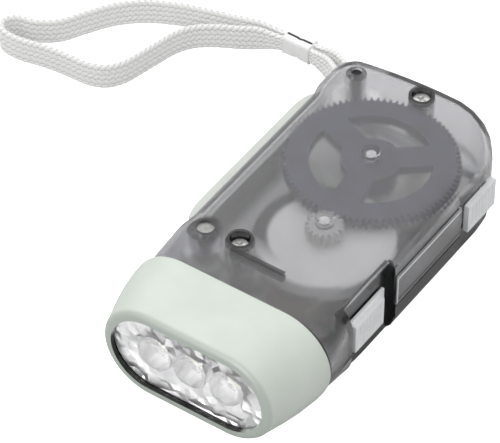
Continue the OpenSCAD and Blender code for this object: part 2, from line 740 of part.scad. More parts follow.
module drive_gear() {
    cup_r = ratchet_r - 0.9;
    p = 360 / ratchet_teeth;
    spoke_w = 7;
    color("slategray")
    translate([gear_p[0], gear_p[1], 0])
        difference() {
            union() {
                translate([0, 0, gear_z])
                    linear_extrude(gear_t)
                        difference() {
                            polygon(gear_points(gear_teeth, gear_m, rotor_a + 180 / gear_teeth));
                            difference() {
                                circle(0.7 * gear_tip_r);
                                circle(ratchet_r + 0.8);
                                for (a = [39, 159, 279])
                                    rotate(a)
                                        translate([0, -spoke_w / 2])
                                            square([gear_tip_r, spoke_w]);
                            }
                        }
                translate([0, 0, flywheel_z + 0.2])
                    linear_extrude(gear_z - flywheel_z)
                        difference() {
                            circle(ratchet_r);
                            polygon([for (k = [0 : ratchet_teeth - 1])
                                each [polar(cup_r - 0.8, k * p), polar(cup_r, k * p + 1)]]);
                        }
                translate([0, 0, gear_z])
                    cylinder(r = shaft_r + 1.8, h = gear_t + 0.25);
            }
            translate([0, 0, flywheel_z])
                cylinder(r = shaft_r + run_gap, h = far);
        }
}

module gear_shaft() {
    color("silver")
    post(gear_p, shaft_r, floor_z + 1, ceil_z + 0.5);
}

module rotor_pinion() {
    color("white")
    difference() {
        union() {
            post(rotor_p, rotor_teeth * gear_m / 2 - 1.5, flywheel_z + flywheel_t, gear_z);
            translate([rotor_p[0], rotor_p[1], gear_z - 0.2])
                linear_extrude(gear_t + 0.4)
                    polygon(gear_points(rotor_teeth, gear_m, rotor_a + 180));
        }
        post(rotor_p, shaft_r + run_gap, 0, far);
    }
}

// Flywheel with the hub and sleeve that carry the magnet
module flywheel() {
    color("gainsboro")
    translate([rotor_p[0], rotor_p[1], 0])
        rotate_extrude($fn = 128)
            polygon([[shaft_r + run_gap, magnet_z], [shaft_r + 1.2, magnet_z], [shaft_r + 1.2, magnet_top],
                [shaft_r + 2.2, magnet_top], [shaft_r + 2.2, flywheel_z + 1], [flywheel_r - 3, flywheel_z + 1],
                [flywheel_r - 3, flywheel_z], [flywheel_r, flywheel_z],
                [flywheel_r, flywheel_z + flywheel_t - 0.4], [flywheel_r - 0.4, flywheel_z + flywheel_t],
                [shaft_r + run_gap, flywheel_z + flywheel_t]]);
}

module ring_magnet() {
    color("darkslategray")
    difference() {
        post(rotor_p, magnet_r, magnet_z, magnet_top);
        post(rotor_p, shaft_r + 1.2 + eps, 0, far);
    }
}

module rotor_shaft() {
    color("silver")
    post(rotor_p, shaft_r, floor_z - 1, ceil_z + 0.5);
}

// U-shaped iron: two arms with hollowed pole faces and the yoke that carries the coil
yoke_y = rotor_p[1] - magnet_r - 2.2 - coil_t - core_w;
arm_x = magnet_r + air_gap - 0.8;
module stator_core() {
    color("darkgray")
    translate([0, 0, core_z - core_w / 2])
        linear_extrude(core_w)
            difference() {
                translate([rotor_p[0] - arm_x - core_w, yoke_y])
                    square([2 * (arm_x + core_w), rotor_p[1] + 4 - yoke_y]);
                translate([rotor_p[0] - arm_x, yoke_y + core_w])
                    square([2 * arm_x, far]);
                translate(rotor_p)
                    circle(magnet_r + air_gap);
                translate(screw_front_p)
                    circle(screw_pass + 2 + free_gap);
            }
}

// Upright rectangular frame round the yoke, between two planes across X
module yoke_frame(x0, x1, inner, outer) {
    translate([x0, yoke_y + core_w / 2, core_z])
        rotate([90, 0, 90])
            linear_extrude(x1 - x0)
                difference() {
                    square(outer, center = true);
                    square(inner, center = true);
                }
}

bobbin_t = 0.6;
bobbin_in = core_w + 0.1;
bobbin_out = bobbin_in + 2 * bobbin_t;
module coil_bobbin() {
    x0 = rotor_p[0] - coil_l / 2;
    color("ivory")
    union() {
        yoke_frame(x0, x0 + coil_l, bobbin_in, bobbin_out);
        for (x = [x0, x0 + coil_l - bobbin_t])
            yoke_frame(x, x + bobbin_t, bobbin_in, bobbin_out + 2 * coil_t + 0.3);
    }
}

module coil_winding() {
    x0 = rotor_p[0] - coil_l / 2 + bobbin_t;
    color("peru")
    yoke_frame(x0, x0 + coil_l - 2 * bobbin_t, bobbin_out, bobbin_out + 2 * coil_t);
}

cell_p = [side_x - wall - cell_d / 2 - 2.2, tail_y - 16.4];
strip_t = 0.3;
lead_gap = 0.12;
cell_z = floor_z + strip_t;
module button_cell() {
    color("lightgray")
    union() {
        post(cell_p, cell_d / 2, cell_z, cell_z + cell_h - 0.5);
        post(cell_p, cell_d / 2 - 1.6, cell_z, cell_z + cell_h);
    }
}

module cell_contact_top() {
    z = cell_z + cell_h;
    y = cell_p[1] - cell_d / 2 - 1.4;
    color("gold")
    union() {
        block(about(cell_p[0], 3), [y, cell_p[1] + 4], [z, z + strip_t]);
        block(about(cell_p[0], 3), [y, y + strip_t], [floor_z, z + strip_t]);
    }
}

module cell_contact_base() {
    color("gold")
    block(about(cell_p[0], 3), about(cell_p[1], 8), [floor_z, cell_z]);
}

board_x = switch_x - backing_t - 1.1 - board_t;
board_z = floor_z + 1.2;
board_y = [switch_y - 7.5, switch_y + 8.5];
module control_board() {
    color("seagreen")
    block([board_x, board_x + board_t], board_y, [board_z, flywheel_z - 0.8]);
}

// Thumb pad with upright ridges
module ridged_pad(x0, x1, y0, y1, z) {
    step = (y1 - y0 - 2) / 7;
    difference() {
        block([x0, x1], [y0, y1], about(z, pad_h / 2));
        for (k = [0 : 6])
            translate([x1, y0 + 1 + (k + 0.5) * step, z])
                cube([2 * ridge_h, 0.45 * step, pad_h - 2.4], center = true);
    }
}

module switch_slider() {
    inner_x = switch_x - backing_t - free_gap;
    plate_x = switch_x + plate_gap;
    color("lightsteelblue")
    union() {
        block([plate_x, plate_x + plate_t], base_y, about(switch_z, base_h / 2));
        ridged_pad(plate_x + 0.1, pad_x, switch_y - pad_l / 2, switch_y + pad_l / 2, switch_z);
        block([inner_x - 0.4, plate_x + 0.1], about(switch_y, stem_l / 2), about(switch_z, stem_h / 2));
        block([inner_x - 0.4, inner_x], about(switch_y, stem_l), [switch_z - stem_h, switch_z + stem_h / 2 + 0.6]);
    }
}

module switch_wiper() {
    x = switch_x - backing_t - free_gap - 0.4;
    color("gold")
    block([x - strip_t, x], about(switch_y, stem_l - 0.5), [switch_z - stem_h, switch_z - 0.8]);
}

module lock_slider() {
    plate_x = thumb_x + plate_gap;
    color("lightsteelblue")
    union() {
        ridged_pad(plate_x, pad_x, lock_y - lock_l / 2, lock_y + lock_l / 2, lock_z);
        block([finger_x, plate_x + 0.2], [bar_y, bar_y + bar_w], [bar_z, bar_z + bar_h]);
        block([finger_x, finger_x + finger_w], [bar_y - finger_l, bar_y + 0.1], [bar_z, bar_z + bar_h]);
    }
}

// Sideways place of a wire that keeps clear of the stator's right arm where it passes it
core_x = rotor_p[0] + arm_x + core_w;
function beside_core(x, y) = y > yoke_y - 1 ? max(x, core_x + 0.8) : x;

// Pair of round wires along one route, set apart sideways
module lead_pair(route, apart) {
    for (s = [-1, 1])
        skin(wire_rings([for (p = smooth(route, 3)) p + s * apart / 2], 0.45, 8));
}

module lamp_leads() {
    x = board_x;
    y0 = collar_y + lead_gap;
    y1 = board_y[0];
    color("crimson")
    lead_pair([[x - 8, y0, 8], [x - 8, y0 + 3, 8], [beside_core(x - 7, y0 + 8), y0 + 8, 7],
        [beside_core(x - 5, y1 - 4), y1 - 4, 6], [beside_core(x - 3, y1 + 1.5), y1 + 1.5, 6],
        [beside_core(x - 1.6, y1 + 5), y1 + 5, 6], [x - lead_gap, y1 + 5.4, 6]], [0, 0, 1.4]);
}

module coil_leads() {
    x0 = rotor_p[0] + coil_l / 2 + lead_gap;
    y = yoke_y - 0.9;
    z = core_z + 2;
    color("darkorange")
    lead_pair([[x0, y, z], [x0 + 2, y, z], [x0 + 5, y + 0.4, z + 0.4],
        [beside_core(board_x - 2, y + 1.8), y + 1.8, z + 0.4],
        [board_x - lead_gap, y + 2.2, z + 0.4]], [0, 0, 1.2]);
}

module cell_leads() {
    x = board_x;
    y0 = cell_p[1] - cell_d / 2 - 1.4 - lead_gap;
    y1 = board_y[1];
    color("navy")
    lead_pair([[cell_p[0], y0, 4], [cell_p[0], y0 - 3, 4], [cell_p[0] + 3.4, y0 - 8, 3.8], [x - 0.6, y0 - 16, 3.8],
        [beside_core(x - 1, y1 + 4), y1 + 4, 4.4], [beside_core(x - 2.2, y1 - 0.4), y1 - 0.4, 5],
        [x - lead_gap, y1 - 1, 5]], [0, 0, 1.2]);
}

module strap_pin() {
    color("dimgray")
    post(post_p, post_r, floor_z, body_h - 0.9);
}

module strap_neck() {
    x = clasp_p[0] + clasp_l / 2 - clasp_bite;
    ends = [[x, clasp_p[1] + strap_sep, clasp_p[2]], [x, clasp_p[1] - strap_sep, clasp_p[2]]];
    color("white")
    skin(band_rings(smooth(concat([ends[0]], neck_route, [ends[1]]), 3), strap_w, strap_t));
}

module strap_loop() {
    x = clasp_p[0] - clasp_l / 2 + clasp_bite;
    ends = [[x, clasp_p[1] + strap_sep, clasp_p[2]], [x, clasp_p[1] - strap_sep, clasp_p[2]]];
    color("white")
    skin(band_rings(smooth(concat([ends[0]], loop_route, [ends[1]]), 2), strap_w, strap_t));
}

// Crimped clasp that both strands of the strap run into
module strap_clasp() {
    h = strap_w + 1.4;
    t = 2 * strap_sep + strap_t + 1.4;
    color("whitesmoke")
    translate([clasp_p[0] - clasp_l / 2, clasp_p[1], clasp_p[2]])
        rotate([90, 0, 90])
            linear_extrude(clasp_l)
                difference() {
                    union() {
                        square([t, h - 2], center = true);
                        square([t - 2, h], center = true);
                        for (x = [-1, 1], z = [-1, 1])
                            translate([x * (t / 2 - 1), z * (h / 2 - 1)])
                                circle(1);
                    }
                    translate([0, h / 2])
                        square([slit_w, 2 * slit_d], center = true);
                }
}

lower_shell();
upper_shell();
head_bezel();
lens();
reflector();
led(-1);  // led_left
led(0);  // led_mid
led(1);  // led_right
led_board();
case_screw(screw_front_p, front_head_z, floor_z + 6);  // case_screw_front
case_screw(screw_rear_p, rear_head_z, floor_z + 3);  // case_screw_rear
squeeze_lever();
pivot_pin();
return_spring();
clutch_pinion();
drive_gear();
gear_shaft();
rotor_pinion();
flywheel();
ring_magnet();
rotor_shaft();
stator_core();
coil_bobbin();
coil_winding();
button_cell();
cell_contact_top();
cell_contact_base();
control_board();
switch_slider();
switch_wiper();
lock_slider();
lamp_leads();
coil_leads();
cell_leads();
strap_pin();
strap_neck();
strap_clasp();
strap_loop();
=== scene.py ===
# %% [markdown]
# # A hand-press dynamo flashlight
# The torch has a smoke-clear shell, so that its gears show, a pale oval head with three lamps, a squeeze
# lever on the left, two thumb sliders on the right and a flat braided wrist strap. The rigid pieces come
# from the CAD model and get their finishes here. What bends or is wound, which is the strap, the leads,
# the spring and the coil, is made here, because its surface is a pattern as much as a shape.

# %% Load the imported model
import math
import random

import bmesh
import bpy
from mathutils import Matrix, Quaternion, Vector
from mathutils.bvhtree import BVHTree
from mathutils.geometry import delaunay_2d_cdt


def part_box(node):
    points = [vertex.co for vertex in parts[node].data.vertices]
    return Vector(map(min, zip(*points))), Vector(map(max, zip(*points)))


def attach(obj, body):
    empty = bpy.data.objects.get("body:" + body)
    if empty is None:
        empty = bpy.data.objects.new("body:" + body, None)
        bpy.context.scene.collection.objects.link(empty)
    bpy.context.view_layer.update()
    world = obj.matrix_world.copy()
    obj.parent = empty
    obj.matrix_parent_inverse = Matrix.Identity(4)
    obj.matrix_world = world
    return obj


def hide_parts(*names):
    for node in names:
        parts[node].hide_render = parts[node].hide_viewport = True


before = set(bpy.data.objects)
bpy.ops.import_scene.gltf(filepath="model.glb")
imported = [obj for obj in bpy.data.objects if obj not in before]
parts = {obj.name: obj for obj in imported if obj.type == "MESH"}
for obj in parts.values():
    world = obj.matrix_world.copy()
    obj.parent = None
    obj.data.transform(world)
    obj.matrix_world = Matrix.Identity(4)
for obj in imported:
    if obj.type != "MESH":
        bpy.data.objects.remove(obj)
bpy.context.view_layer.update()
MM = 0.001


def box_mm(node):
    """Lowest and highest corner of a CAD node, in millimetres."""
    low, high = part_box(node)
    return Vector(low) / MM, Vector(high) / MM

# %% [markdown]
# ## Camera
# The photograph was taken with a long lens from the front right, looking down at about 45 degrees. A long
# lens keeps the sides of the torch nearly parallel, so the camera stands a metre away and its focal
# length follows from the number of photograph pixels that one millimetre of the torch covers.

# %% Place the camera
PHOTO_WIDTH = 500
PIXELS_PER_MM = 4.154
CAMERA_AWAY = 1.0
AIM = Vector((-16.34, -1.94, 13.7)) * MM
azimuth, elevation, roll = (math.radians(a) for a in (33.59, 44.72, 0.89))
back = Vector((math.sin(azimuth) * math.cos(elevation), -math.cos(azimuth) * math.cos(elevation),
               math.sin(elevation)))
lens_data = bpy.data.cameras.new("studio_camera")
lens_data.sensor_width = 36
lens_data.lens = PIXELS_PER_MM / MM * CAMERA_AWAY * lens_data.sensor_width / PHOTO_WIDTH
lens_data.clip_end = 20
camera = bpy.data.objects.new("studio_camera", lens_data)
camera.location = AIM + back * CAMERA_AWAY
camera.rotation_mode = "QUATERNION"
camera.rotation_quaternion = (-back).to_track_quat("-Z", "Y") @ Quaternion((0, 0, 1), roll)
bpy.context.collection.objects.link(camera)
bpy.context.scene.camera = camera
print("focal length, mm:", round(lens_data.lens, 1))

# %% [markdown]
# ## Routes and tubes
# Everything that bends follows a route: a few points with a smooth curve through them, the same curve
# that the CAD source uses. The curve is cut into equal steps, and a ring of points at each step gives a
# tube or a band. Rings are plainer than a curve object with a bevel, and they let the surface carry a
# pattern that follows the length.

# %% Routes
CURVE_STEPS = 24


def smooth_route(points, gap):
    """Points every gap millimetres on the smooth curve through the route, and the curve's length."""
    count = len(points)
    dense = []
    for i in range(count - 1):
        a, b, c, d = (Vector(points[min(max(k, 0), count - 1)]) for k in range(i - 1, i + 3))
        for k in range(CURVE_STEPS):
            t = k / CURVE_STEPS
            dense.append(0.5 * (2 * b + (c - a) * t + (2 * a - 5 * b + 4 * c - d) * t * t
                                + (3 * b - a - 3 * c + d) * t ** 3))
    dense.append(Vector(points[-1]))
    runs = [0.0]
    for a, b in zip(dense, dense[1:]):
        runs.append(runs[-1] + (b - a).length)
    steps = max(2, round(runs[-1] / gap))
    even, k = [], 0
    for i in range(steps + 1):
        want = runs[-1] * i / steps
        while k < len(runs) - 2 and runs[k + 1] < want:
            k += 1
        part_way = (want - runs[k]) / max(1e-9, runs[k + 1] - runs[k])
        even.append(dense[k].lerp(dense[k + 1], min(1.0, part_way)))
    return even, runs[-1]


def heading(points, i):
    return (points[min(len(points) - 1, i + 1)] - points[max(0, i - 1)]).normalized()

# %% Skins over rings
def skin(name, tubes, marks=None, mark_name="mark"):
    """One object from tubes, each a list of rings in millimetres, with an optional number for each point."""
    corners, faces, values = [], [], []
    for number, rings in enumerate(tubes):
        start, around = len(corners), len(rings[0])
        corners += [point * MM for ring in rings for point in ring]
        if marks:
            values += [value for ring in marks[number] for value in ring]
        for j in range(len(rings) - 1):
            for i in range(around):
                a, b = start + j * around + i, start + j * around + (i + 1) % around
                faces.append((a, b, b + around, a + around))
        faces.append(tuple(range(start + around - 1, start - 1, -1)))
        faces.append(tuple(range(len(corners) - around, len(corners))))
    mesh = bpy.data.meshes.new(name)
    mesh.from_pydata(corners, [], faces)
    if marks:
        mesh.attributes.new(mark_name, "FLOAT", "POINT").data.foreach_set("value", values)
    work = bmesh.new()
    work.from_mesh(mesh)
    bmesh.ops.recalc_face_normals(work, faces=work.faces)
    work.to_mesh(mesh)
    work.free()
    mesh.shade_smooth()
    made = bpy.data.objects.new(name, mesh)
    bpy.context.collection.objects.link(made)
    print(name, len(corners), "points")
    return made

# %% [markdown]
# ## Wrist strap
# The strap is a flat tubular braid of white polyester, eight millimetres wide, which stands on its edge
# on the table. One short length goes round a post in the tail, and a long one makes the wrist loop. A
# crimped clasp holds all four ends and draws the braid together. A braid shows five ribs, and every rib
# is a row of slanting stitches, so each ring of the band is pushed in and out by a stitch pattern. A bump
# in the material would look the same from the front but leave a smooth outline.

# %% Strap routes, as in the CAD source
STRAP_WIDTH, STRAP_THICK = 8.0, 1.5
CLASP = Vector((-46.5, 65.2, 4.7))
CLASP_HALF, CLASP_BITE, STRAND_APART = 4.0, 1.0, 1.0
LOOP_HEIGHT, LIFTED_PAST, LIFT = 4.1, -60, 0.3
neck_points = [(-37, 65.2, 5.5), (-31, 62, 6.9), (-25.4, 56.8, 8.8), (-20.9, 52.5, 10.2), (-16.5, 49.2, 11.1),
               (-15.4, 46.3, 11.1), (-17.3, 44.4, 11.1), (-19.8, 44.8, 11.1), (-20.7, 46.9, 11.1),
               (-23.4, 50.2, 10.2), (-27.8, 54.7, 8.8), (-32.6, 59.2, 6.9), (-37.8, 62.5, 5.5)]
loop_plan = [(-57, 64.8), (-63, 63.3), (-71, 61), (-79, 58.4), (-87, 54.2), (-93, 48.4), (-97, 42),
             (-100.5, 36), (-105.5, 32.2), (-110.4, 30.8), (-112.6, 27.8), (-110.4, 24.8), (-105, 24.4),
             (-99, 25.6), (-92, 26.4), (-86, 26.6), (-81.4, 28.2), (-78.4, 31.8), (-76.8, 37), (-75.4, 43),
             (-73.8, 49), (-71.2, 53.4), (-67, 56.8), (-62, 59.6), (-56.5, 62.4)]
loop_points = [(x, y, LOOP_HEIGHT if x < LIFTED_PAST else LOOP_HEIGHT + LIFT) for x, y in loop_plan]


def between_clasp_faces(points, toward):
    x = CLASP.x + toward * (CLASP_HALF - CLASP_BITE)
    return [(x, CLASP.y + STRAND_APART, CLASP.z)] + points + [(x, CLASP.y - STRAND_APART, CLASP.z)]

# %% Stitches of the braid
RIBS, STITCH, RELIEF, SLANT = 5, 1.6, 0.4, 0.35
SQUEEZED, WIDENING = 4.8, 9.0


def stitch_height(run, across):
    """Height from 0 to 1 of the braid at a distance along it and a place from -0.5 to 0.5 across it."""
    rib = min(RIBS - 1, int((across + 0.5) * RIBS))
    u = 2 * ((across + 0.5) * RIBS - rib) - 1
    slant = SLANT if rib % 2 else -SLANT
    phase = run / STITCH + slant * u + 0.5 * (rib % 2)
    q = 2 * (phase - math.floor(phase)) - 1
    return math.sqrt(max(0, 1 - u * u)) ** 0.7 * (0.15 + 0.85 * math.sqrt(max(0, 1 - q * q)))


def drawn_width(point):
    """Width of the strap at a point: the clasp draws it together, and it widens over a few millimetres."""
    away = max(0, (Vector((point.x, point.y)) - CLASP.xy).length - CLASP_HALF) / WIDENING
    share = min(1, away)
    return SQUEEZED + (STRAP_WIDTH - SQUEEZED) * share * share * (3 - 2 * share)

# %% Braid the strap
ACROSS, EDGE_POWER = 40, 8


def braid(name, points):
    route, length = smooth_route(points, STITCH / 6)
    rings, heights = [], []
    for i, centre in enumerate(route):
        along = heading(route, i)
        side = Vector((along.y, -along.x, 0)).normalized()
        run = length * i / (len(route) - 1)
        width = drawn_width(centre)
        ring, height = [], []
        for face in (1, -1):
            for k in range(ACROSS):
                across = face * ((k + 0.5) / ACROSS - 0.5)
                high = stitch_height(run + (0 if face > 0 else STITCH / 2), across)
                rounding = math.sqrt(1 - abs(2 * across) ** EDGE_POWER)
                out = STRAP_THICK / 2 * rounding - RELIEF * (1 - high)
                ring.append(centre + side * face * out + Vector((0, 0, across * width)))
                height.append(high)
        rings.append(ring)
        heights.append(height)
    made = skin(name, [rings], [heights], "stitch")
    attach(made, "housing")
    return made, [point * MM for point in route], length * MM


neck, neck_path, neck_length = braid("braided_neck", between_clasp_faces(neck_points, 1))
loop, loop_path, loop_length = braid("braided_loop", between_clasp_faces(loop_points, -1))
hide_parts("strap_neck")
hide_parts("strap_loop")

# %% [markdown]
# ## Clasp
# The clasp is a short moulded sleeve, pressed in round its middle, with a small lip at both ends. A box
# with a bevel would do from afar, but the pinch shows against the white ground. So it is a row of rounded
# rectangles, whose size follows two bell curves: one takes away in the middle and one adds at the ends.

# %% Crimped clasp
CLASP_STEPS, CLASP_SIDES, CLASP_SQUARE = 24, 32, 0.35
CLASP_DEEP, CLASP_COVER = 2.15, 0.45
CRIMP_DEPTH, CRIMP_REACH = 0.22, 0.7
LIP_HEIGHT, LIP_REACH = 0.12, 0.5
clasp_rings = []
for i in range(CLASP_STEPS + 1):
    along = 2 * i / CLASP_STEPS - 1
    crimp = CRIMP_DEPTH * math.exp(-((along * CLASP_HALF) / CRIMP_REACH) ** 2)
    lip = LIP_HEIGHT * math.exp(-((1 - abs(along)) * CLASP_HALF / LIP_REACH) ** 2)
    deep = CLASP_DEEP - crimp + lip
    tall = SQUEEZED / 2 + CLASP_COVER - crimp + lip
    ring = []
    for k in range(CLASP_SIDES):
        a = 2 * math.pi * k / CLASP_SIDES
        c, d = math.cos(a), math.sin(a)
        ring.append(CLASP + Vector((along * CLASP_HALF, deep * math.copysign(abs(c) ** CLASP_SQUARE, c),
                                    tall * math.copysign(abs(d) ** CLASP_SQUARE, d))))
    clasp_rings.append(ring)
clasp = skin("crimped_clasp", [clasp_rings])
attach(clasp, "housing")
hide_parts("strap_clasp")
print("strap lengths, mm:", round(neck_length / MM), round(loop_length / MM))

# %% [markdown]
# ## Finishes: helpers
# Colours are written as the sRGB hex values that a picture editor shows, and Blender's sockets want
# linear light, so one function turns the first into the second. Another one adds a shader node with its
# settings and its links. Two more give what almost every moulded or rolled surface has: a faint
# unevenness of colour and a fine grain. The last ones lay painted shade on by place in the model, measured
# in millimetres.

# %% Colours, nodes and finishes
def linear(code):
    channels = [int(code[i:i + 2], 16) / 255 for i in (1, 3, 5)]
    return tuple(c / 12.92 if c <= 0.04045 else ((c + 0.055) / 1.055) ** 2.4 for c in channels) + (1.0,)


def add(tree, kind, links=None, **settings):
    made = tree.nodes.new(kind)
    for name, value in settings.items():
        setattr(made, name, value)
    for name, value in (links or {}).items():
        if isinstance(value, bpy.types.NodeSocket):
            tree.links.new(value, made.inputs[name])
        else:
            made.inputs[name].default_value = value
    return made


def new_finish(name, **sockets):
    finish = bpy.data.materials.new(name)
    finish.use_nodes = True
    shader = finish.node_tree.nodes["Principled BSDF"]
    for socket, value in sockets.items():
        shader.inputs[socket.replace("_", " ")].default_value = value
    return finish, finish.node_tree, shader


def dress(finish, *pieces):
    """One finish on CAD nodes, given by name, or on pieces made here."""
    for piece in pieces:
        mesh = parts[piece].data if isinstance(piece, str) else piece.data
        mesh.materials.clear()
        mesh.materials.append(finish)
    print(finish.name, "on", *(piece if isinstance(piece, str) else piece.name for piece in pieces))

# %% Unevenness and grain
def speckle(tree, size, stretch=(1, 1, 1), detail=2.0):
    """A 0 to 1 pattern with spots about size millimetres across, in the piece's own space."""
    place = add(tree, "ShaderNodeTexCoord").outputs["Object"]
    pulled = add(tree, "ShaderNodeMapping", {"Vector": place, "Scale": stretch})
    spots = add(tree, "ShaderNodeTexNoise", {"Vector": pulled.outputs[0], "Scale": 1 / (size * MM),
                                             "Detail": detail})
    return spots.outputs[0]


def blend_colours(tree, factor, first, second):
    return add(tree, "ShaderNodeMix", {0: factor, 6: first, 7: second}, data_type="RGBA").outputs[2]


def two_tone(tree, shader, pattern, dark, light, low=0.35, high=0.65):
    """The shader's colour from a pattern, between two hex colours."""
    level = add(tree, "ShaderNodeMapRange", {"Value": pattern, "From Min": low, "From Max": high})
    colour = blend_colours(tree, level.outputs[0], linear(dark), linear(light))
    tree.links.new(colour, shader.inputs["Base Color"])


def grain(tree, shader, pattern, depth, strength=1.0):
    """A bump of depth millimetres from a pattern."""
    bump = add(tree, "ShaderNodeBump", {"Height": pattern, "Distance": depth * MM, "Strength": strength})
    tree.links.new(bump.outputs[0], shader.inputs["Normal"])

# %% Painted shade laid on by place in the model
def shade(tree, shader, mask, code):
    """Painted shade: a hex colour over the shader's colour where the mask is 1."""
    before = shader.inputs["Base Color"].links[0].from_socket
    tree.links.new(blend_colours(tree, mask, before, linear(code)), shader.inputs["Base Color"])


def band(tree, value, low, high, soft):
    """1 where a value lies between low and high, falling to 0 over soft on each side."""
    rise = add(tree, "ShaderNodeMapRange", {"Value": value, "From Min": low - soft, "From Max": low})
    fall = add(tree, "ShaderNodeMapRange", {"Value": value, "From Min": high, "From Max": high + soft,
                                            "To Min": 1.0, "To Max": 0.0})
    both = add(tree, "ShaderNodeMath", {0: rise.outputs[0], 1: fall.outputs[0]}, operation="MULTIPLY")
    return both.outputs[0]


def from_point(tree, point, axes=(1, 1, 0)):
    """Distance in millimetres from a point of the model, measured along the given axes only."""
    place = add(tree, "ShaderNodeTexCoord").outputs["Object"]
    offset = add(tree, "ShaderNodeVectorMath", {0: place, 1: Vector(point) * MM}, operation="SUBTRACT")
    kept = add(tree, "ShaderNodeVectorMath", {0: offset.outputs[0], 1: Vector(axes) / MM},
               operation="MULTIPLY")
    return add(tree, "ShaderNodeVectorMath", {0: kept.outputs[0]}, operation="LENGTH").outputs["Value"]


def inside_box(tree, low, high, soft):
    """1 inside a box of the model, in millimetres, falling to 0 over soft on each side."""
    place = add(tree, "ShaderNodeTexCoord").outputs["Object"]
    scaled = add(tree, "ShaderNodeVectorMath", {0: place, 1: (1 / MM, 1 / MM, 1 / MM)},
                 operation="MULTIPLY")
    split = add(tree, "ShaderNodeSeparateXYZ", {"Vector": scaled.outputs[0]})
    mask = 1.0
    for axis in range(3):
        here = band(tree, split.outputs[axis], low[axis], high[axis], soft)
        mask = add(tree, "ShaderNodeMath", {0: here, 1: mask}, operation="MULTIPLY").outputs[0]
    return mask

# %% [markdown]
# ## Braided polyester
# White polyester yarn is bright and dull, and light gets lost between the stitches. The braid's own
# stitch height, kept on its points when it was made, tells the crowns from the gaps, and the gaps get a
# painted shade. Single fibres are about 0.02 mm, too fine to show, so they are drawn at 0.25 mm.

# %% White polyester braid
polyester, tree, shader = new_finish("polyester_yarn_braided", Roughness=0.8, IOR=1.5, Sheen_Weight=0.2,
                                     Sheen_Roughness=0.5)
stitch = add(tree, "ShaderNodeAttribute", attribute_name="stitch")
# Painted shade: the gaps between stitches are darker than the crowns.
two_tone(tree, shader, stitch.outputs["Fac"], "#84837E", "#FFFFFE", 0.12, 0.6)
grain(tree, shader, speckle(tree, 0.25, (1, 1, 2.5)), 0.05)
dress(polyester, neck, loop)

# %% [markdown]
# ## Clasp plastic
# Moulded polypropylene is white, waxy and a little soft in its highlight. The sleeve closes along a seam
# on top, a slot too narrow to model at this size, so the shade in it is painted as a dark line in the colour.

# %% White polypropylene, moulded
SEAM_INSET, SEAM_HALF, SEAM_LOW, SEAM_HIGH = 0.3, 0.3, 1.5, 9
clasp_white, tree, shader = new_finish("white_polypropylene_moulded", Roughness=0.42, IOR=1.49)
two_tone(tree, shader, speckle(tree, 3), "#FAFAF8", "#FFFFFF")
seam_shade_low = (CLASP.x - CLASP_HALF + SEAM_INSET, CLASP.y - SEAM_HALF, CLASP.z + SEAM_LOW)
seam_shade_high = (CLASP.x + CLASP_HALF - SEAM_INSET, CLASP.y + SEAM_HALF, CLASP.z + SEAM_HIGH)
# Painted shade: a dark line along the seam slot on top.
shade(tree, shader, inside_box(tree, seam_shade_low, seam_shade_high, 0.1), "#2A2A2C")
grain(tree, shader, speckle(tree, 0.3), 0.01)
dress(clasp_white, clasp)

# %% [markdown]
# ## Smoke-clear polystyrene
# The two half shells are moulded in clear polystyrene with a little black dye. It reflects like any
# glossy plastic, and light that goes through is dimmed by the thickness it crosses, so the edges of a
# wall look darker than its middle. The inside of such a moulding isn't polished: it blurs what lies deep
# and leaves what is close behind it clear. That is a rough transmission under a smooth clear coat, and a
# small diffuse share gives its slight milkiness. At screw posts, seams, ribs and the thumb pocket, faces
# lie close together and swallow light. More bounces would show some of that, slowly. Here these places,
# the parting line, the pivot, the lower right side, the left of the neck and the left edge of the cover
# get painted shade instead: a darker tone laid on by their place in the model.

# %% Smoke-clear polystyrene, moulded
smoke, tree, shader = new_finish("smoke_polystyrene_moulded", Roughness=0.2, IOR=1.45,
                                 Transmission_Weight=0.97, Coat_Weight=0.6, Coat_Roughness=0.04,
                                 Specular_IOR_Level=0.3)
two_tone(tree, shader, speckle(tree, 14), "#F4F4F6", "#F8F8FA")
smoke_dye = add(tree, "ShaderNodeVolumeAbsorption", {"Color": linear("#8C8C92"), "Density": 80.0})
tree.links.new(smoke_dye.outputs[0], tree.nodes["Material Output"].inputs["Volume"])
dress(smoke, "lower_shell", "upper_shell")

# %% Painted shade on the shells
SPLIT_HEIGHT, SPLIT_SHADE_LINE = 9.2, 0.5
SCREW_SHADE_RING, PIVOT_SHADE_RING = (2.1, 3.2), (2.1, 3.4)
BEYOND, BELOW = 40, -5
# Painted shade: a dark ring round each screw well, where the sunk screw head lies in shade.
for screw in ("case_screw_front", "case_screw_rear"):
    low_corner, high_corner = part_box(screw)
    axis = (Vector(low_corner) + Vector(high_corner)) / 2 / MM
    shade(tree, shader, band(tree, from_point(tree, axis), *SCREW_SHADE_RING, 0.15), "#141416")
# Painted shade: a black line along the parting line of the two shells.
from_split = from_point(tree, (0, 0, SPLIT_HEIGHT), (0, 0, 1))
shade(tree, shader, band(tree, from_split, -1, SPLIT_SHADE_LINE, 0.1), "#040405")
pivot_low, pivot_high = box_mm("pivot_pin")
# Painted shade: a grey ring round the lever's pivot.
shade(tree, shader, band(tree, from_point(tree, (pivot_low + pivot_high) / 2), *PIVOT_SHADE_RING, 0.8), "#5A5B5E")
pad_low, pad_high = box_mm("switch_slider")
head_front, head_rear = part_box("head_bezel")[0][1] / MM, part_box("head_bezel")[1][1] / MM
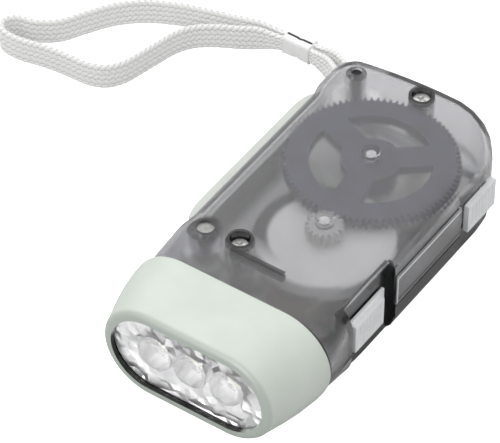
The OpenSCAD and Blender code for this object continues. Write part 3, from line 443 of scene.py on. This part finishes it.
# Each painted shade place has a low corner, a high corner, the softness of its border, all in millimetres,
# and the tone of its painted shade.
painted_shade_places = {
    "rib under the cover": ((-8.6, -22.2, 18), (6.4, -20.8, 26), 0.25, "#3A3B3E"),
    "switch pocket": ((21.5, pad_low.y - 3, 2), (24.9, pad_high.y + 4.5, 22), 0.15, "#2E2F33"),
    "lower right side": ((22.5, -18, 0.8), (27, 46, SPLIT_HEIGHT - 0.4), 0.3, "#3E3E42"),
    "seam at the head": ((-BEYOND, head_rear - 1, BELOW), (BEYOND, head_rear + 0.25, BEYOND), 0.15,
                         "#101012"),
    "left of the neck": ((-BEYOND, head_rear, BELOW), (-15, -19, BEYOND), 4, "#D8D8DC"),
    "left edge of the cover": ((-30, -13, 20.6), (-22.9, 38, 22.5), 0.2, "#4A4B4E"),
}
for low, high, soft, tone in painted_shade_places.values():
    shade(tree, shader, inside_box(tree, low, high, soft), tone)
print("dark places:", ", ".join(painted_shade_places))

# %% [markdown]
# ## Pale ABS
# The head is pale green-white ABS from a mould with a fine spark-eroded texture: satin, with a broad soft
# highlight. The lever is the same plastic in a less green batch. The texture's grit is about 0.15 mm,
# which would not show, so it is drawn at 0.25 mm. The head's front rim turns away from the light and gets
# a painted shade, a deeper tone laid on by place.

# %% Pale ABS of the head, satin mould
RIM_SHADE_DEPTH = 0.5
pale, tree, shader = new_finish("pale_abs_moulded", Roughness=0.42, IOR=1.52)
two_tone(tree, shader, speckle(tree, 9), "#D3DBD2", "#D8E0D7")
# Painted shade on the head's front rim, which turns away from the light.
rim_shade_low, rim_shade_high = (-BEYOND, head_front - 5, BELOW), (BEYOND, head_front + RIM_SHADE_DEPTH, BEYOND)
shade(tree, shader, inside_box(tree, rim_shade_low, rim_shade_high, 0.7), "#C2CBC2")
grain(tree, shader, speckle(tree, 0.25), 0.012)
dress(pale, "head_bezel")

# %% Less green ABS of the lever
lever_abs, tree, shader = new_finish("lever_abs_moulded", Roughness=0.42, IOR=1.52)
two_tone(tree, shader, speckle(tree, 9), "#D3D7D1", "#D8DCD6")
grain(tree, shader, speckle(tree, 0.25), 0.012)
dress(lever_abs, "squeeze_lever")

# %% Silver-grey ABS of the thumb pads
# Glossier than the head, and nearly white in this light.
silver, tree, shader = new_finish("silver_grey_abs_moulded", Roughness=0.36, IOR=1.52)
two_tone(tree, shader, speckle(tree, 2.5), "#EEF0F2", "#F6F7F8")
grain(tree, shader, speckle(tree, 0.2), 0.008)
dress(silver, "switch_slider", "lock_slider")

# %% [markdown]
# ## Squeeze grip
# The palm meets the lever on a full, straight grip with a tight edge radius, where the CAD solid bows and
# has a soft edge. The grip is a thin cap over the lever's outer face: one section, swept along the lever,
# that runs straight in the middle and turns in at both ends. Its section is a shallow channel with
# rounded outer edges.

# %% Grip cap on the lever
lever_low, lever_high = box_mm("squeeze_lever")
GRIP_MIDDLE, GRIP_HALF, GRIP_OUT, GRIP_EDGE = 14.5, 27.3, 0.36, 0.8
STRAIGHT_HALF, TURN_LENGTH, TURN_DEPTH = 19.5, 7.9, 2.5
LEVER_BOW, FACE_INSET = 1.7, 0.04
FLANGE_REACH, WEB_REACH, FLANGE_TIP, FLANGE_ROOT = 2.1, 1, 1.5, 1.6
GRIP_STEPS, EDGE_STEPS = 24, 6
top, bottom = lever_high.z - FACE_INSET, lever_low.z + FACE_INSET
grip_rings = []
for i in range(2 * GRIP_STEPS + 1):
    y = GRIP_MIDDLE + GRIP_HALF * (i / GRIP_STEPS - 1)
    turn = max(0, (abs(y - GRIP_MIDDLE) - STRAIGHT_HALF) / TURN_LENGTH)
    outer = lever_low.x - GRIP_OUT + TURN_DEPTH * (1 - math.sqrt(1 - min(1, turn) ** 2))
    inner = lever_low.x + LEVER_BOW * ((y - GRIP_MIDDLE) / GRIP_HALF) ** 2
    section = [(inner + FLANGE_REACH, top)]
    for high in (1, 0):
        for k in range(EDGE_STEPS + 1):
            a = math.pi / 2 * (1 - k / EDGE_STEPS if high else -k / EDGE_STEPS)
            z = top - GRIP_EDGE if high else bottom + GRIP_EDGE
            section.append((outer + GRIP_EDGE * (1 - math.cos(a)), z + GRIP_EDGE * math.sin(a)))
    section += [(inner + FLANGE_REACH, bottom), (inner + FLANGE_REACH, lever_low.z + FLANGE_TIP),
                (inner + WEB_REACH, lever_low.z + FLANGE_ROOT),
                (inner + WEB_REACH, lever_high.z - FLANGE_ROOT),
                (inner + FLANGE_REACH, lever_high.z - FLANGE_TIP)]
    grip_rings.append([Vector((x, y, z)) for x, z in section])
grip = skin("lever_grip", [grip_rings])
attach(grip, "lever")
dress(lever_abs, grip)

# %% [markdown]
# ## Lamp reflector
# Behind the lens lies a plastic reflector with a mirror layer of aluminium: three cups, one round each
# lamp, cut into many small flat facets that sparkle. The CAD solid has plain cones. A bump map would
# glitter too, but its facets would not have edges. Here a net of triangles follows the same cups, and
# each corner is moved a little, so that every facet throws back a different piece of the room.

# %% Outline and holes of the reflector
reflector_low, reflector_high = box_mm("reflector")
AXIS_HEIGHT = (reflector_low.z + reflector_high.z) / 2
LAMPS, LAMP_PITCH, LAMP_HOLE, CUP_RADIUS = (-1, 0, 1), 9.9, 2.65, 4.9
INSIDE_SEAT = 0.05
RIM_POINTS, HOLE_POINTS = 64, 18
half_width = (reflector_high.x - reflector_low.x) / 2 - INSIDE_SEAT
round_end = (reflector_high.z - reflector_low.z) / 2 - INSIDE_SEAT


def inside_stadium(x, z, margin):
    over = max(0, abs(x) - (half_width - round_end))
    return math.hypot(over, z) < round_end - margin


def round_lamp(lamp, radius, i, count):
    a = 2 * math.pi * i / count
    return Vector((lamp * LAMP_PITCH + radius * math.cos(a), radius * math.sin(a)))


def from_nearest_lamp(x, z):
    return min(math.hypot(x - lamp * LAMP_PITCH, z) for lamp in LAMPS)


net = []
for i in range(RIM_POINTS):
    a = 2 * math.pi * (i + 0.5) / RIM_POINTS
    net.append(Vector((math.copysign(half_width - round_end, math.cos(a)) + round_end * math.cos(a),
                       round_end * math.sin(a))))
edges = [(i, (i + 1) % RIM_POINTS) for i in range(RIM_POINTS)]
for lamp in LAMPS:
    first = len(net)
    net += [round_lamp(lamp, LAMP_HOLE, i, HOLE_POINTS) for i in range(HOLE_POINTS)]
    edges += [(first + i, first + (i + 1) % HOLE_POINTS) for i in range(HOLE_POINTS)]
print("reflector half width and half height, mm:", round(half_width, 2), round(round_end, 2))

# %% Net of facet corners
INNER_RING, RING_POINTS = 3.7, 14
FACET, ROW_SHARE, WANDER = 1.9, 0.87, 0.5
RIM_MARGIN, CUP_MARGIN = 0.7, 0.6
draw = random.Random(7)
for lamp in LAMPS:
    for ring, radius in enumerate((INNER_RING, CUP_RADIUS)):
        for i in range(RING_POINTS):
            point = round_lamp(lamp, radius, i + 0.5 * ring, RING_POINTS)
            if abs(point.x - lamp * LAMP_PITCH) < LAMP_PITCH / 2:
                net.append(point)
for row in range(-6, 7):
    for column in range(-13, 14):
        x = (column + 0.5 * (row % 2)) * FACET + draw.uniform(-WANDER, WANDER)
        z = row * FACET * ROW_SHARE + draw.uniform(-WANDER, WANDER)
        if inside_stadium(x, z, RIM_MARGIN) and from_nearest_lamp(x, z) > CUP_RADIUS + CUP_MARGIN:
            net.append(Vector((x, z)))
points, _, triangles, _, _, _ = delaunay_2d_cdt(net, edges, [], 0, 1e-5)
print("facet corners:", len(points))

# %% Depth of the cups
FRONT_LAYER, CUP_DEPTH, CUP_CURVE, RIPPLE = 0.25, 5.6, 0.8, 0.6
STILL_RIM, STILL_HOLE = 0.3, 0.2


def reflector_depth(x, z):
    """Depth behind the reflector's front, with a small random step at corners away from rim and holes."""
    away = from_nearest_lamp(x, z)
    share = min(1, max(0, (CUP_RADIUS - away) / (CUP_RADIUS - LAMP_HOLE)))
    moves = inside_stadium(x, z, STILL_RIM) and away > LAMP_HOLE + STILL_HOLE
    ripple = draw.uniform(0, RIPPLE) if moves else 0
    return FRONT_LAYER + CUP_DEPTH * share ** CUP_CURVE + ripple


corners = [Vector((p.x, reflector_low.y + reflector_depth(p.x, p.y), AXIS_HEIGHT + p.y)) * MM for p in points]
print("deepest corner, mm behind the front:", round(max(c.y for c in corners) / MM - reflector_low.y, 2))

# %% Faceted reflector
OVER_RIM, OVER_HOLE, MIRROR_THICK = -0.2, 0.98, 0.6
kept = []
for triangle in triangles:
    middle = sum((points[i] for i in triangle), Vector((0, 0))) / 3
    clear_of_lamps = all((middle - Vector((lamp * LAMP_PITCH, 0))).length > LAMP_HOLE * OVER_HOLE
                         for lamp in LAMPS)
    if inside_stadium(middle.x, middle.y, OVER_RIM) and clear_of_lamps:
        kept.append(tuple(triangle))
mesh = bpy.data.meshes.new("faceted_reflector")
mesh.from_pydata(corners, [], kept)
work = bmesh.new()
work.from_mesh(mesh)
bmesh.ops.delete(work, geom=[v for v in work.verts if not v.link_faces], context="VERTS")
bmesh.ops.recalc_face_normals(work, faces=work.faces)
if sum(face.normal.y for face in work.faces) > 0:
    bmesh.ops.reverse_faces(work, faces=work.faces)
work.to_mesh(mesh)
work.free()
facets = bpy.data.objects.new("faceted_reflector", mesh)
bpy.context.collection.objects.link(facets)
facets.modifiers.new("moulded_thickness", "SOLIDIFY").thickness = -MIRROR_THICK * MM
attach(facets, "housing")
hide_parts("reflector")
print("reflector facets:", len(mesh.polygons))

# %% [markdown]
# ## Lamp finishes
# The lens is clear acrylic with three raised eyes, polished so that it shows only by its highlights. The
# reflector's aluminium layer is a slightly soft mirror, and each lamp is a clear epoxy bullet that looks
# milky because of what it holds. Between the lens and its seat runs a narrow gap. Along the lower left
# the seat is deep and no light gets in, so that stretch of the head and of the mirror is nearly black.

# %% Gap round the lens
GAP_SOFT, GAP_END, GAP_BACK, GAP_TOP = 0.12, 15, 6, 1


def from_lamp_axis(tree):
    """Distance in millimetres, seen along the beam, from the line that the lamp's oval is drawn round."""
    place = add(tree, "ShaderNodeTexCoord").outputs["Object"]
    split = add(tree, "ShaderNodeSeparateXYZ", {"Vector": place})
    reach = add(tree, "ShaderNodeMath", {0: split.outputs["X"]}, operation="ABSOLUTE")
    over = add(tree, "ShaderNodeMath", {0: reach.outputs[0], 1: (half_width - round_end) * MM},
               operation="SUBTRACT")
    past = add(tree, "ShaderNodeMath", {0: over.outputs[0], 1: 0.0}, operation="MAXIMUM")
    past_mm = add(tree, "ShaderNodeMath", {0: past.outputs[0], 1: 1 / MM}, operation="MULTIPLY")
    high = from_point(tree, (0, 0, AXIS_HEIGHT), (0, 0, 1))
    both = add(tree, "ShaderNodeCombineXYZ", {"X": past_mm.outputs[0], "Y": high})
    return add(tree, "ShaderNodeVectorMath", {0: both.outputs[0]}, operation="LENGTH").outputs["Value"]


def gap_shadow(tree, low, high):
    """1 in the gap between the lens and its seat, along the lower left, where the seat is deep."""
    gap = band(tree, from_lamp_axis(tree), low, high, GAP_SOFT)
    side_low = (-BEYOND, -90, BELOW)
    side_high = (GAP_END, head_front + GAP_BACK, AXIS_HEIGHT + GAP_TOP)
    low_side = inside_box(tree, side_low, side_high, 2)
    return add(tree, "ShaderNodeMath", {0: gap, 1: low_side}, operation="MULTIPLY").outputs[0]


lens_half = (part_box("lens")[1][2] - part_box("lens")[0][2]) / 2 / MM
print("lens and reflector half heights, mm:", round(lens_half, 2), round(round_end, 2))

# %% Acrylic, mirror and epoxy
SEAT_LIP, MIRROR_EDGE = 0.75, 0.45
tree = pale.node_tree
shade(tree, tree.nodes["Principled BSDF"], gap_shadow(tree, 0, lens_half - SEAT_LIP), "#101210")
clear, tree, shader = new_finish("clear_acrylic_moulded", Base_Color=linear("#FFFFFF"), Roughness=0.02,
                                 IOR=1.49, Transmission_Weight=1.0)
grain(tree, shader, speckle(tree, 6), 0.02)
dress(clear, "lens")
mirror, tree, shader = new_finish("aluminium_vacuum_coated", Roughness=0.38, Metallic=1.0)
two_tone(tree, shader, speckle(tree, 1.5), "#F0F0F2", "#FCFCFC")
shade(tree, shader, gap_shadow(tree, round_end - MIRROR_EDGE, round_end + 2), "#0C0C0E")
dress(mirror, facets)
epoxy, tree, shader = new_finish("clear_epoxy_cast", Roughness=0.08, IOR=1.53, Transmission_Weight=0.15)
two_tone(tree, shader, speckle(tree, 2), "#F4F3EA", "#FFFFFA")
dress(epoxy, "led_left", "led_mid", "led_right")

# %% [markdown]
# ## Steel parts
# Screws and shafts are nickel-plated steel from a lathe or a header, so their fine tool marks run round.
# The lever's rivet is zinc-plated and duller, and the strap's post is blackened; its dark tone also paints
# the shade of the deep hole round its end. They differ only in tone and in how wide their highlight is.

# %% Steels
# Nickel plate: bright and slightly warm, with a broad highlight broken by tool marks.
steel, tree, shader = new_finish("steel_nickel_plated", Roughness=0.4, Metallic=1.0)
two_tone(tree, shader, speckle(tree, 0.8), "#DEDEDC", "#F0F0EE")
grain(tree, shader, speckle(tree, 0.4, (1, 1, 6)), 0.01)
dress(steel, "case_screw_front", "case_screw_rear", "gear_shaft", "rotor_shaft")
# Zinc plate: mid grey and dull.
dull, tree, shader = new_finish("steel_zinc_plated", Roughness=0.5, Metallic=1.0)
two_tone(tree, shader, speckle(tree, 0.8), "#9A9A98", "#AEAEAB")
dress(dull, "pivot_pin")
# Blackened steel: dark, with a metal's highlight. The dark tone also stands in for the shade of the hole
# round the post's end.
blackened_and_hole_shade, tree, shader = new_finish("steel_blackened_and_hole_shade", Roughness=0.4, Metallic=1.0)
two_tone(tree, shader, speckle(tree, 0.8), "#3A3B3D", "#4A4B4D")
dress(blackened_and_hole_shade, "strap_pin")

# %% [markdown]
# ## Flywheel and generator metals
# The flywheel is turned from zinc alloy and left bare. Its oxide scatters light almost as paint does, so
# it is pale and nearly matt, with a small metallic share. Its rim lies deep under the gear on the lever's
# side, and there it gets a painted shadow, a dark tone laid on by place. The coin cell is a drawn can, the
# contacts are pressed nickel silver, the core is a stack of iron sheets and the magnet is ferrite.

# %% Zinc of the flywheel
zinc, tree, shader = new_finish("zinc_turned", Roughness=0.6, Metallic=0.15)
two_tone(tree, shader, speckle(tree, 1.2), "#F8F8F6", "#FFFFFD")
wheel_low, wheel_high = box_mm("flywheel")
wheel = (wheel_low + wheel_high) / 2
# Painted shadow: a dark band on the rim, on the lever's side only.
rim = band(tree, from_point(tree, wheel), 14.0, 18, 0.9)
shadow_low, shadow_high = (wheel.x - 20, wheel.y - 9, 0), (wheel.x - 3, wheel.y + 20, 30)
shadow_side = inside_box(tree, shadow_low, shadow_high, 5)
rim_shadow = add(tree, "ShaderNodeMath", {0: rim, 1: shadow_side}, operation="MULTIPLY")
shade(tree, shader, rim_shadow.outputs[0], "#101012")
dress(zinc, "flywheel")

# %% Cell, contacts, core and magnet
# Drawn steel can: smooth, with a clean gloss.
can, tree, shader = new_finish("steel_can_drawn", Roughness=0.3, Metallic=1.0)
two_tone(tree, shader, speckle(tree, 2), "#BEBEBA", "#D0D0CC")
dress(can, "button_cell")
# Pressed nickel silver: a warm grey sheet metal.
nickel_silver, tree, shader = new_finish("nickel_silver_pressed", Roughness=0.35, Metallic=1.0)
two_tone(tree, shader, speckle(tree, 1.5), "#A5A199", "#B5B1A8")
dress(nickel_silver, "cell_contact_top", "cell_contact_base", "switch_wiper")
# Stacked iron sheets of 0.5 mm: dark, with lines where the sheets meet.
iron, tree, shader = new_finish("iron_laminated", Roughness=0.5, Metallic=1.0)
two_tone(tree, shader, speckle(tree, 0.5, (0.1, 0.1, 3)), "#6A6A6C", "#8C8C8E")
grain(tree, shader, speckle(tree, 0.5, (0.05, 0.05, 3)), 0.05)
dress(iron, "stator_core")
# Sintered ferrite: a black, dull ceramic.
ferrite, tree, shader = new_finish("ferrite_sintered", Roughness=0.7)
two_tone(tree, shader, speckle(tree, 0.6), "#2A2A2C", "#3A3A3C")
grain(tree, shader, speckle(tree, 0.3), 0.03)
dress(ferrite, "ring_magnet")

# %% [markdown]
# ## Gear plastics and boards
# The big gear is blue-grey acetal, the small ones are white acetal and the bobbin is natural nylon.
# Acetal is a waxy plastic with a soft gloss, and nylon is creamier. The two boards are glass-fibre
# laminate under green lacquer, whose weave shows as a faint unevenness.

# %% Gear plastics and boards
grey, tree, shader = new_finish("blue_grey_acetal_moulded", Roughness=0.45, IOR=1.48)
two_tone(tree, shader, speckle(tree, 5), "#40404E", "#4A4A64")
grain(tree, shader, speckle(tree, 0.3), 0.01)
dress(grey, "drive_gear")
white, tree, shader = new_finish("white_acetal_moulded", Roughness=0.4, IOR=1.48)
two_tone(tree, shader, speckle(tree, 2), "#D2D2D0", "#DADAD8")
dress(white, "clutch_pinion", "rotor_pinion")
nylon, tree, shader = new_finish("natural_nylon_moulded", Roughness=0.45, IOR=1.53)
two_tone(tree, shader, speckle(tree, 2), "#B8B2A2", "#C6C0B0")
dress(nylon, "coil_bobbin")
laminate, tree, shader = new_finish("glass_fibre_board_lacquered", Roughness=0.4, IOR=1.5)
two_tone(tree, shader, speckle(tree, 0.8), "#4E6A58", "#5C7866")
grain(tree, shader, speckle(tree, 0.5), 0.015)
dress(laminate, "led_board", "control_board")

# %% [markdown]
# ## Wires
# Inside the shell run three pairs of insulated wires between the boards, the coil and the cell. Each is
# round wire along a route, so one function makes them, and the coil and the spring use it as well. The
# ends are stripped and tinned: there the wire is thinner, and a mark on its points turns the finish to
# metal.

# %% Round wire along a route
BARE_SHARE, STEEP = 0.6, 0.9


def round_wire(route, radius, sides=10, bare=0.0):
    """Rings of a wire whose ends are stripped over bare millimetres, and marks that are 1 on that part."""
    total = sum((b - a).length for a, b in zip(route, route[1:]))
    rings, marks, run = [], [], 0.0
    for i, centre in enumerate(route):
        run += (centre - route[i - 1]).length if i else 0.0
        stripped = min(run, total - run) < bare
        along = heading(route, i)
        aside = Vector((1, 0, 0)) if abs(along.z) > STEEP else Vector((0, 0, 1))
        across = along.cross(aside).normalized()
        upright = across.cross(along)
        reach = radius * (BARE_SHARE if stripped else 1.0)
        rings.append([centre + reach * (math.cos(2 * math.pi * k / sides) * across
                                        + math.sin(2 * math.pi * k / sides) * upright) for k in range(sides)])
        marks.append([1.0 if stripped else 0.0] * sides)
    return rings, marks

# %% Pairs of insulated wires
WIRE_STEP, WIRE_RADIUS, WIRE_SIDES, BARE_END = 0.5, 0.45, 12, 0.7


def wire_pair(name, node, points, apart, finish):
    tubes, marks = [], []
    for side in (-0.5, 0.5):
        route, _ = smooth_route([(x, y, z + side * apart) for x, y, z in points], WIRE_STEP)
        rings, mark = round_wire(route, WIRE_RADIUS, WIRE_SIDES, BARE_END)
        tubes.append(rings)
        marks.append(mark)
    made = skin(name, tubes, marks, "stripped")
    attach(made, "housing")
    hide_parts(node)
    dress(finish, made)


def insulation(name, dark, light):
    """Extruded PVC, a soft even gloss, with tinned ends."""
    finish, tree, shader = new_finish(name, Roughness=0.45, IOR=1.53)
    two_tone(tree, shader, speckle(tree, 0.8), dark, light)
    ends = add(tree, "ShaderNodeAttribute", attribute_name="stripped")
    tree.links.new(ends.outputs["Fac"], shader.inputs["Metallic"])
    return finish


lamp_route = [(11.2, -40.08, 8), (11.2, -37.08, 8), (12.2, -32.08, 7), (14.2, -25.5, 6), (16.2, -20, 6),
              (17.6, -16.5, 6), (19.08, -16.1, 6)]
coil_lead_route = [(10.42, -15.8, 8.3), (12.42, -15.8, 8.3), (15.42, -15.4, 8.7), (17.2, -14, 8.7),
                   (19.08, -13.6, 8.7)]
cell_route = [(11.3, 24.58, 4), (11.3, 21.58, 4), (14.7, 16.58, 3.8), (18.6, 8.58, 3.8), (18.2, -1.5, 4.4),
              (17, -5.9, 5), (19.08, -6.5, 5)]
wire_pair("lamp_wires", "lamp_leads", lamp_route, 1.4,
          insulation("red_pvc_extruded", "#6C5654", "#7A6260"))
wire_pair("coil_wires", "coil_leads", coil_lead_route, 1.2,
          insulation("orange_pvc_extruded", "#7A6C5E", "#887A6A"))
wire_pair("cell_wires", "cell_leads", cell_route, 1.2,
          insulation("blue_pvc_extruded", "#4A5478", "#586288"))

# %% [markdown]
# ## Painted highlight on the edge of the side panel
# The edge of the panel between the two sliders catches the light as a pale line. The CAD mesh is never
# changed here, and a line in the shell's colour would lie flat, so this painted highlight is a pale bead
# of 0.2 mm radius that lies on the shell. Its route is found by probing the shell's wall from the side.
# The bead's pale finish stands for the light that the rounded edge of clear plastic gathers.

# %% Painted highlight beads, on the shell's wall
EDGE_HEIGHT, EDGE_START, EDGE_END, EDGE_FOOT = 18.05, -1.6, 27.4, 0.6
BEAD, BEAD_SIDES, LONG_STEPS, SHORT_STEPS, OUTSIDE = 0.2, 8, 24, 10, 60
wall_mesh = parts["upper_shell"].data
wall = BVHTree.FromPolygons([v.co for v in wall_mesh.vertices], [f.vertices for f in wall_mesh.polygons])


def on_wall(y, z):
    return wall.ray_cast(Vector((OUTSIDE, y, z)) * MM, Vector((-1, 0, 0)))[0] / MM


edge_length, edge_drop = EDGE_END - EDGE_START, SPLIT_HEIGHT + EDGE_FOOT - EDGE_HEIGHT
long_edge = [on_wall(EDGE_START + edge_length * i / LONG_STEPS, EDGE_HEIGHT) for i in range(LONG_STEPS + 1)]
short_edge = [on_wall(EDGE_START, EDGE_HEIGHT + edge_drop * i / SHORT_STEPS) for i in range(SHORT_STEPS + 1)]
highlight_beads = skin("panel_edge_highlight_beads", [round_wire(edge, BEAD, BEAD_SIDES)[0] for edge in (long_edge, short_edge)])
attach(highlight_beads, "housing")
# Painted highlight: the bead's finish is paler than the wall.
edge_highlight_finish, tree, shader = new_finish("painted_edge_highlight", Roughness=0.25, IOR=1.59)
two_tone(tree, shader, speckle(tree, 1), "#DCDDE0", "#E8E9EC")
dress(edge_highlight_finish, highlight_beads)
print("panel edge at x, mm:", round(min(p.x for p in long_edge), 2), round(max(p.x for p in long_edge), 2))

# %% [markdown]
# ## Return spring
# A torsion spring round the lever's pivot opens the lever. It is drawn steel wire, grey and bright, three
# turns with a straight leg at each end. It keeps the route of its CAD solid, with a rounder section.

# %% Return spring
SPRING_RADIUS, SPRING_WIRE, SPRING_PITCH, SPRING_LOW, SPRING_TURNS = 2.75, 0.7, 1.3, 14.1, 3
LEG_STEP, TURN_STEPS, SPRING_SIDES = 1.5, 40, 12
START = math.radians(60)
pivot = (pivot_low + pivot_high) / 2


def spring_point(turn):
    a = START + 2 * math.pi * turn
    return Vector((pivot.x + SPRING_RADIUS * math.cos(a), pivot.y + SPRING_RADIUS * math.sin(a),
                   SPRING_LOW + SPRING_PITCH * turn))


leg = Vector((math.cos(START - math.pi / 2), math.sin(START - math.pi / 2), 0))
spring_route = [spring_point(0) + LEG_STEP * k * leg for k in (3, 2, 1)]
spring_route += [spring_point(i / TURN_STEPS) for i in range(TURN_STEPS * SPRING_TURNS + 1)]
spring_route += [spring_point(SPRING_TURNS) - LEG_STEP * k * leg for k in (1, 2, 3)]
spring = skin("lever_spring", [round_wire(spring_route, SPRING_WIRE / 2, SPRING_SIDES)[0]])
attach(spring, "housing")
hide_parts("return_spring")
music_wire, tree, shader = new_finish("spring_steel_drawn", Roughness=0.3, Metallic=1.0)
two_tone(tree, shader, speckle(tree, 0.6), "#8A8A8A", "#A6A6A4")
dress(music_wire, spring)

# %% [markdown]
# ## Copper winding
# The coil is enamelled copper, a warm metal under a clear lacquer. The real wire is about 0.1 mm and
# would not show, so one layer of turns is drawn at 0.6 mm, as a square spiral with rounded corners round
# the bobbin.

# %% Copper winding
TURN_PITCH, CORNER, TURN_POINTS, WINDING_SIDES = 0.6, 0.9, 24, 8
FIRST_TURN, JUST_PAST_ZERO = 0.75, 0.001
coil_low, coil_high = box_mm("coil_winding")
middle = (coil_low + coil_high) / 2
half_side = (coil_high.z - coil_low.z) / 2 - TURN_PITCH / 2
straight = half_side - CORNER
turns = int((coil_high.x - coil_low.x) / TURN_PITCH) - 1
winding_route = []
for turn in range(turns):
    for k in range(TURN_POINTS):
        a = 2 * math.pi * k / TURN_POINTS
        x = coil_low.x + TURN_PITCH * (turn + k / TURN_POINTS + FIRST_TURN)
        y = middle.y + math.copysign(straight, math.cos(a)) + CORNER * math.cos(a)
        z = middle.z + math.copysign(straight, math.sin(a + JUST_PAST_ZERO)) + CORNER * math.sin(a)
        winding_route.append(Vector((x, y, z)))
winding = skin("copper_turns", [round_wire(winding_route, TURN_PITCH / 2, WINDING_SIDES)[0]])
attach(winding, "housing")
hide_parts("coil_winding")
copper, tree, shader = new_finish("copper_enamelled", Roughness=0.3, Metallic=1.0)
two_tone(tree, shader, speckle(tree, 0.8), "#8E6A50", "#A07C60")
dress(copper, winding)

# %% [markdown]
# ## Rounded edges
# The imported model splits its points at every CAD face. Merging them lets the shading flow over faces that
# meet at a small angle and keeps the sharp ones sharp. The thumb pads also have small rounded edges that
# catch the light. All of it is modifiers, so the CAD meshes themselves stay as they are.

# %% Merge and smooth, as node groups
MERGE_GAP = 0.002


def piece_modifier(name, limit):
    group = bpy.data.node_groups.new(name, "GeometryNodeTree")
    group.interface.new_socket("Geometry", in_out="INPUT", socket_type="NodeSocketGeometry")
    group.interface.new_socket("Geometry", in_out="OUTPUT", socket_type="NodeSocketGeometry")
    start = add(group, "NodeGroupInput")
    if limit is None:
        last = add(group, "GeometryNodeMergeByDistance",
                   {"Geometry": start.outputs[0], "Distance": MERGE_GAP * MM})
    else:
        angle = add(group, "GeometryNodeInputMeshEdgeAngle")
        soft = add(group, "FunctionNodeCompare",
                   {"A": angle.outputs["Unsigned Angle"], "B": math.radians(limit)}, operation="LESS_THAN")
        faces = add(group, "GeometryNodeSetShadeSmooth", {"Geometry": start.outputs[0]}, domain="FACE")
        last = add(group, "GeometryNodeSetShadeSmooth",
                   {"Geometry": faces.outputs[0], "Shade Smooth": soft.outputs[0]}, domain="EDGE")
    add(group, "NodeGroupOutput", {"Geometry": last.outputs[0]})
    return group


merged, smoothed = piece_modifier("merge_points", None), piece_modifier("smooth_by_angle", 32)

# %% Merge, round and smooth the pieces
PAD_EDGE, PAD_STEPS, PAD_ANGLE = 0.25, 3, 40
pads = ("switch_slider", "lock_slider")
for name, part in parts.items():
    part.modifiers.new("merge", "NODES").node_group = merged
    if name in pads:
        edge = part.modifiers.new("rounded_edges", "BEVEL")
        edge.width = PAD_EDGE * MM
        edge.segments = PAD_STEPS
        edge.limit_method = "ANGLE"
        edge.angle_limit = math.radians(PAD_ANGLE)
    part.modifiers.new("smooth", "NODES").node_group = smoothed
grip.modifiers.new("smooth", "NODES").node_group = smoothed
print("rounded:", sorted(pads))

# %% [markdown]
# ## Floor
# The photograph has a pure white ground and no shadow, as from a light table under a large soft light.
# One glowing sheet would also light the torch from below too strongly. So three sheets share the job:
# white paper that only the camera sees, a grey table that lights and mirrors in the torch, and a dim
# light table that shows only through the clear shell.

# %% Floor
SHEET_SIZE = 6


def sheet(name, height, strength, tones):
    bpy.ops.mesh.primitive_plane_add(size=SHEET_SIZE, location=(0, 0, height * MM))
    made = bpy.context.object
    made.name = name
    finish, tree, shader = new_finish(name + "_white", Roughness=0.9, Emission_Color=(1, 1, 1, 1),
                                      Emission_Strength=strength)
    two_tone(tree, shader, speckle(tree, 60), *tones)
    dress(finish, made)
    return made


paper = sheet("paper_floor", -0.05, 1.0, ("#FAFAFA", "#FDFDFD"))
paper.visible_diffuse = paper.visible_glossy = paper.visible_transmission = paper.visible_shadow = False
table = sheet("white_table", -0.3, 0.02, ("#C6C6C6", "#CACACA"))
table.visible_camera = table.visible_transmission = False
under = sheet("light_table", -0.2, 0.1, ("#E2E2E2", "#E6E6E6"))
under.visible_camera = under.visible_diffuse = under.visible_glossy = under.visible_shadow = False

# %% [markdown]
# ## Room and lamps
# The room is a soft dome, brightest overhead and a little brighter on the left, made from the direction
# in which the light comes. A small soft box on the left shapes the head, and one in front puts highlights
# on lens, reflector and shell. The front one gives no diffuse light, which would wash out the pale
# plastic.

# %% Room
DOME_LOW, DOME_HIGH, DOME_TOP = 0.35, 1.25, 0.9
LEFT_LEVEL, RIGHT_LEVEL = 1.12, 0.82
world = bpy.data.worlds.new("soft_room")
bpy.context.scene.world = world
world.use_nodes = True
room = world.node_tree
room.nodes["Background"].inputs["Color"].default_value = (1, 1, 1, 1)
toward = add(room, "ShaderNodeTexCoord").outputs["Generated"]
axes = add(room, "ShaderNodeSeparateXYZ", {"Vector": toward})
lift = add(room, "ShaderNodeMapRange", {"Value": axes.outputs["Z"], "From Min": 0.0, "From Max": DOME_TOP,
                                        "To Min": DOME_LOW, "To Max": DOME_HIGH})
tilt = add(room, "ShaderNodeMapRange", {"Value": axes.outputs["X"], "From Min": -1.0, "From Max": 1.0,
                                        "To Min": LEFT_LEVEL, "To Max": RIGHT_LEVEL})
level = add(room, "ShaderNodeMath", {0: lift.outputs[0], 1: tilt.outputs[0]}, operation="MULTIPLY")
room.links.new(level.outputs[0], room.nodes["Background"].inputs["Strength"])

# %% Soft boxes
AIMED_AT, BOX_SIZE = Vector((0, 0, 0.01)), 0.4


def soft_box(name, place, power):
    data = bpy.data.lights.new(name, "AREA")
    data.energy = power
    data.size = BOX_SIZE
    lamp = bpy.data.objects.new(name, data)
    lamp.location = place
    lamp.rotation_euler = (AIMED_AT - Vector(place)).to_track_quat("-Z", "Y").to_euler()
    bpy.context.collection.objects.link(lamp)
    print(name, power, "W")
    return lamp


soft_box("key_soft_box", (-0.35, 0.1, 0.6), 0.6)
soft_box("front_soft_box", (0.0, -0.6, 0.15), 4.0).visible_diffuse = False
bpy.context.scene.view_settings.view_transform = "Standard"
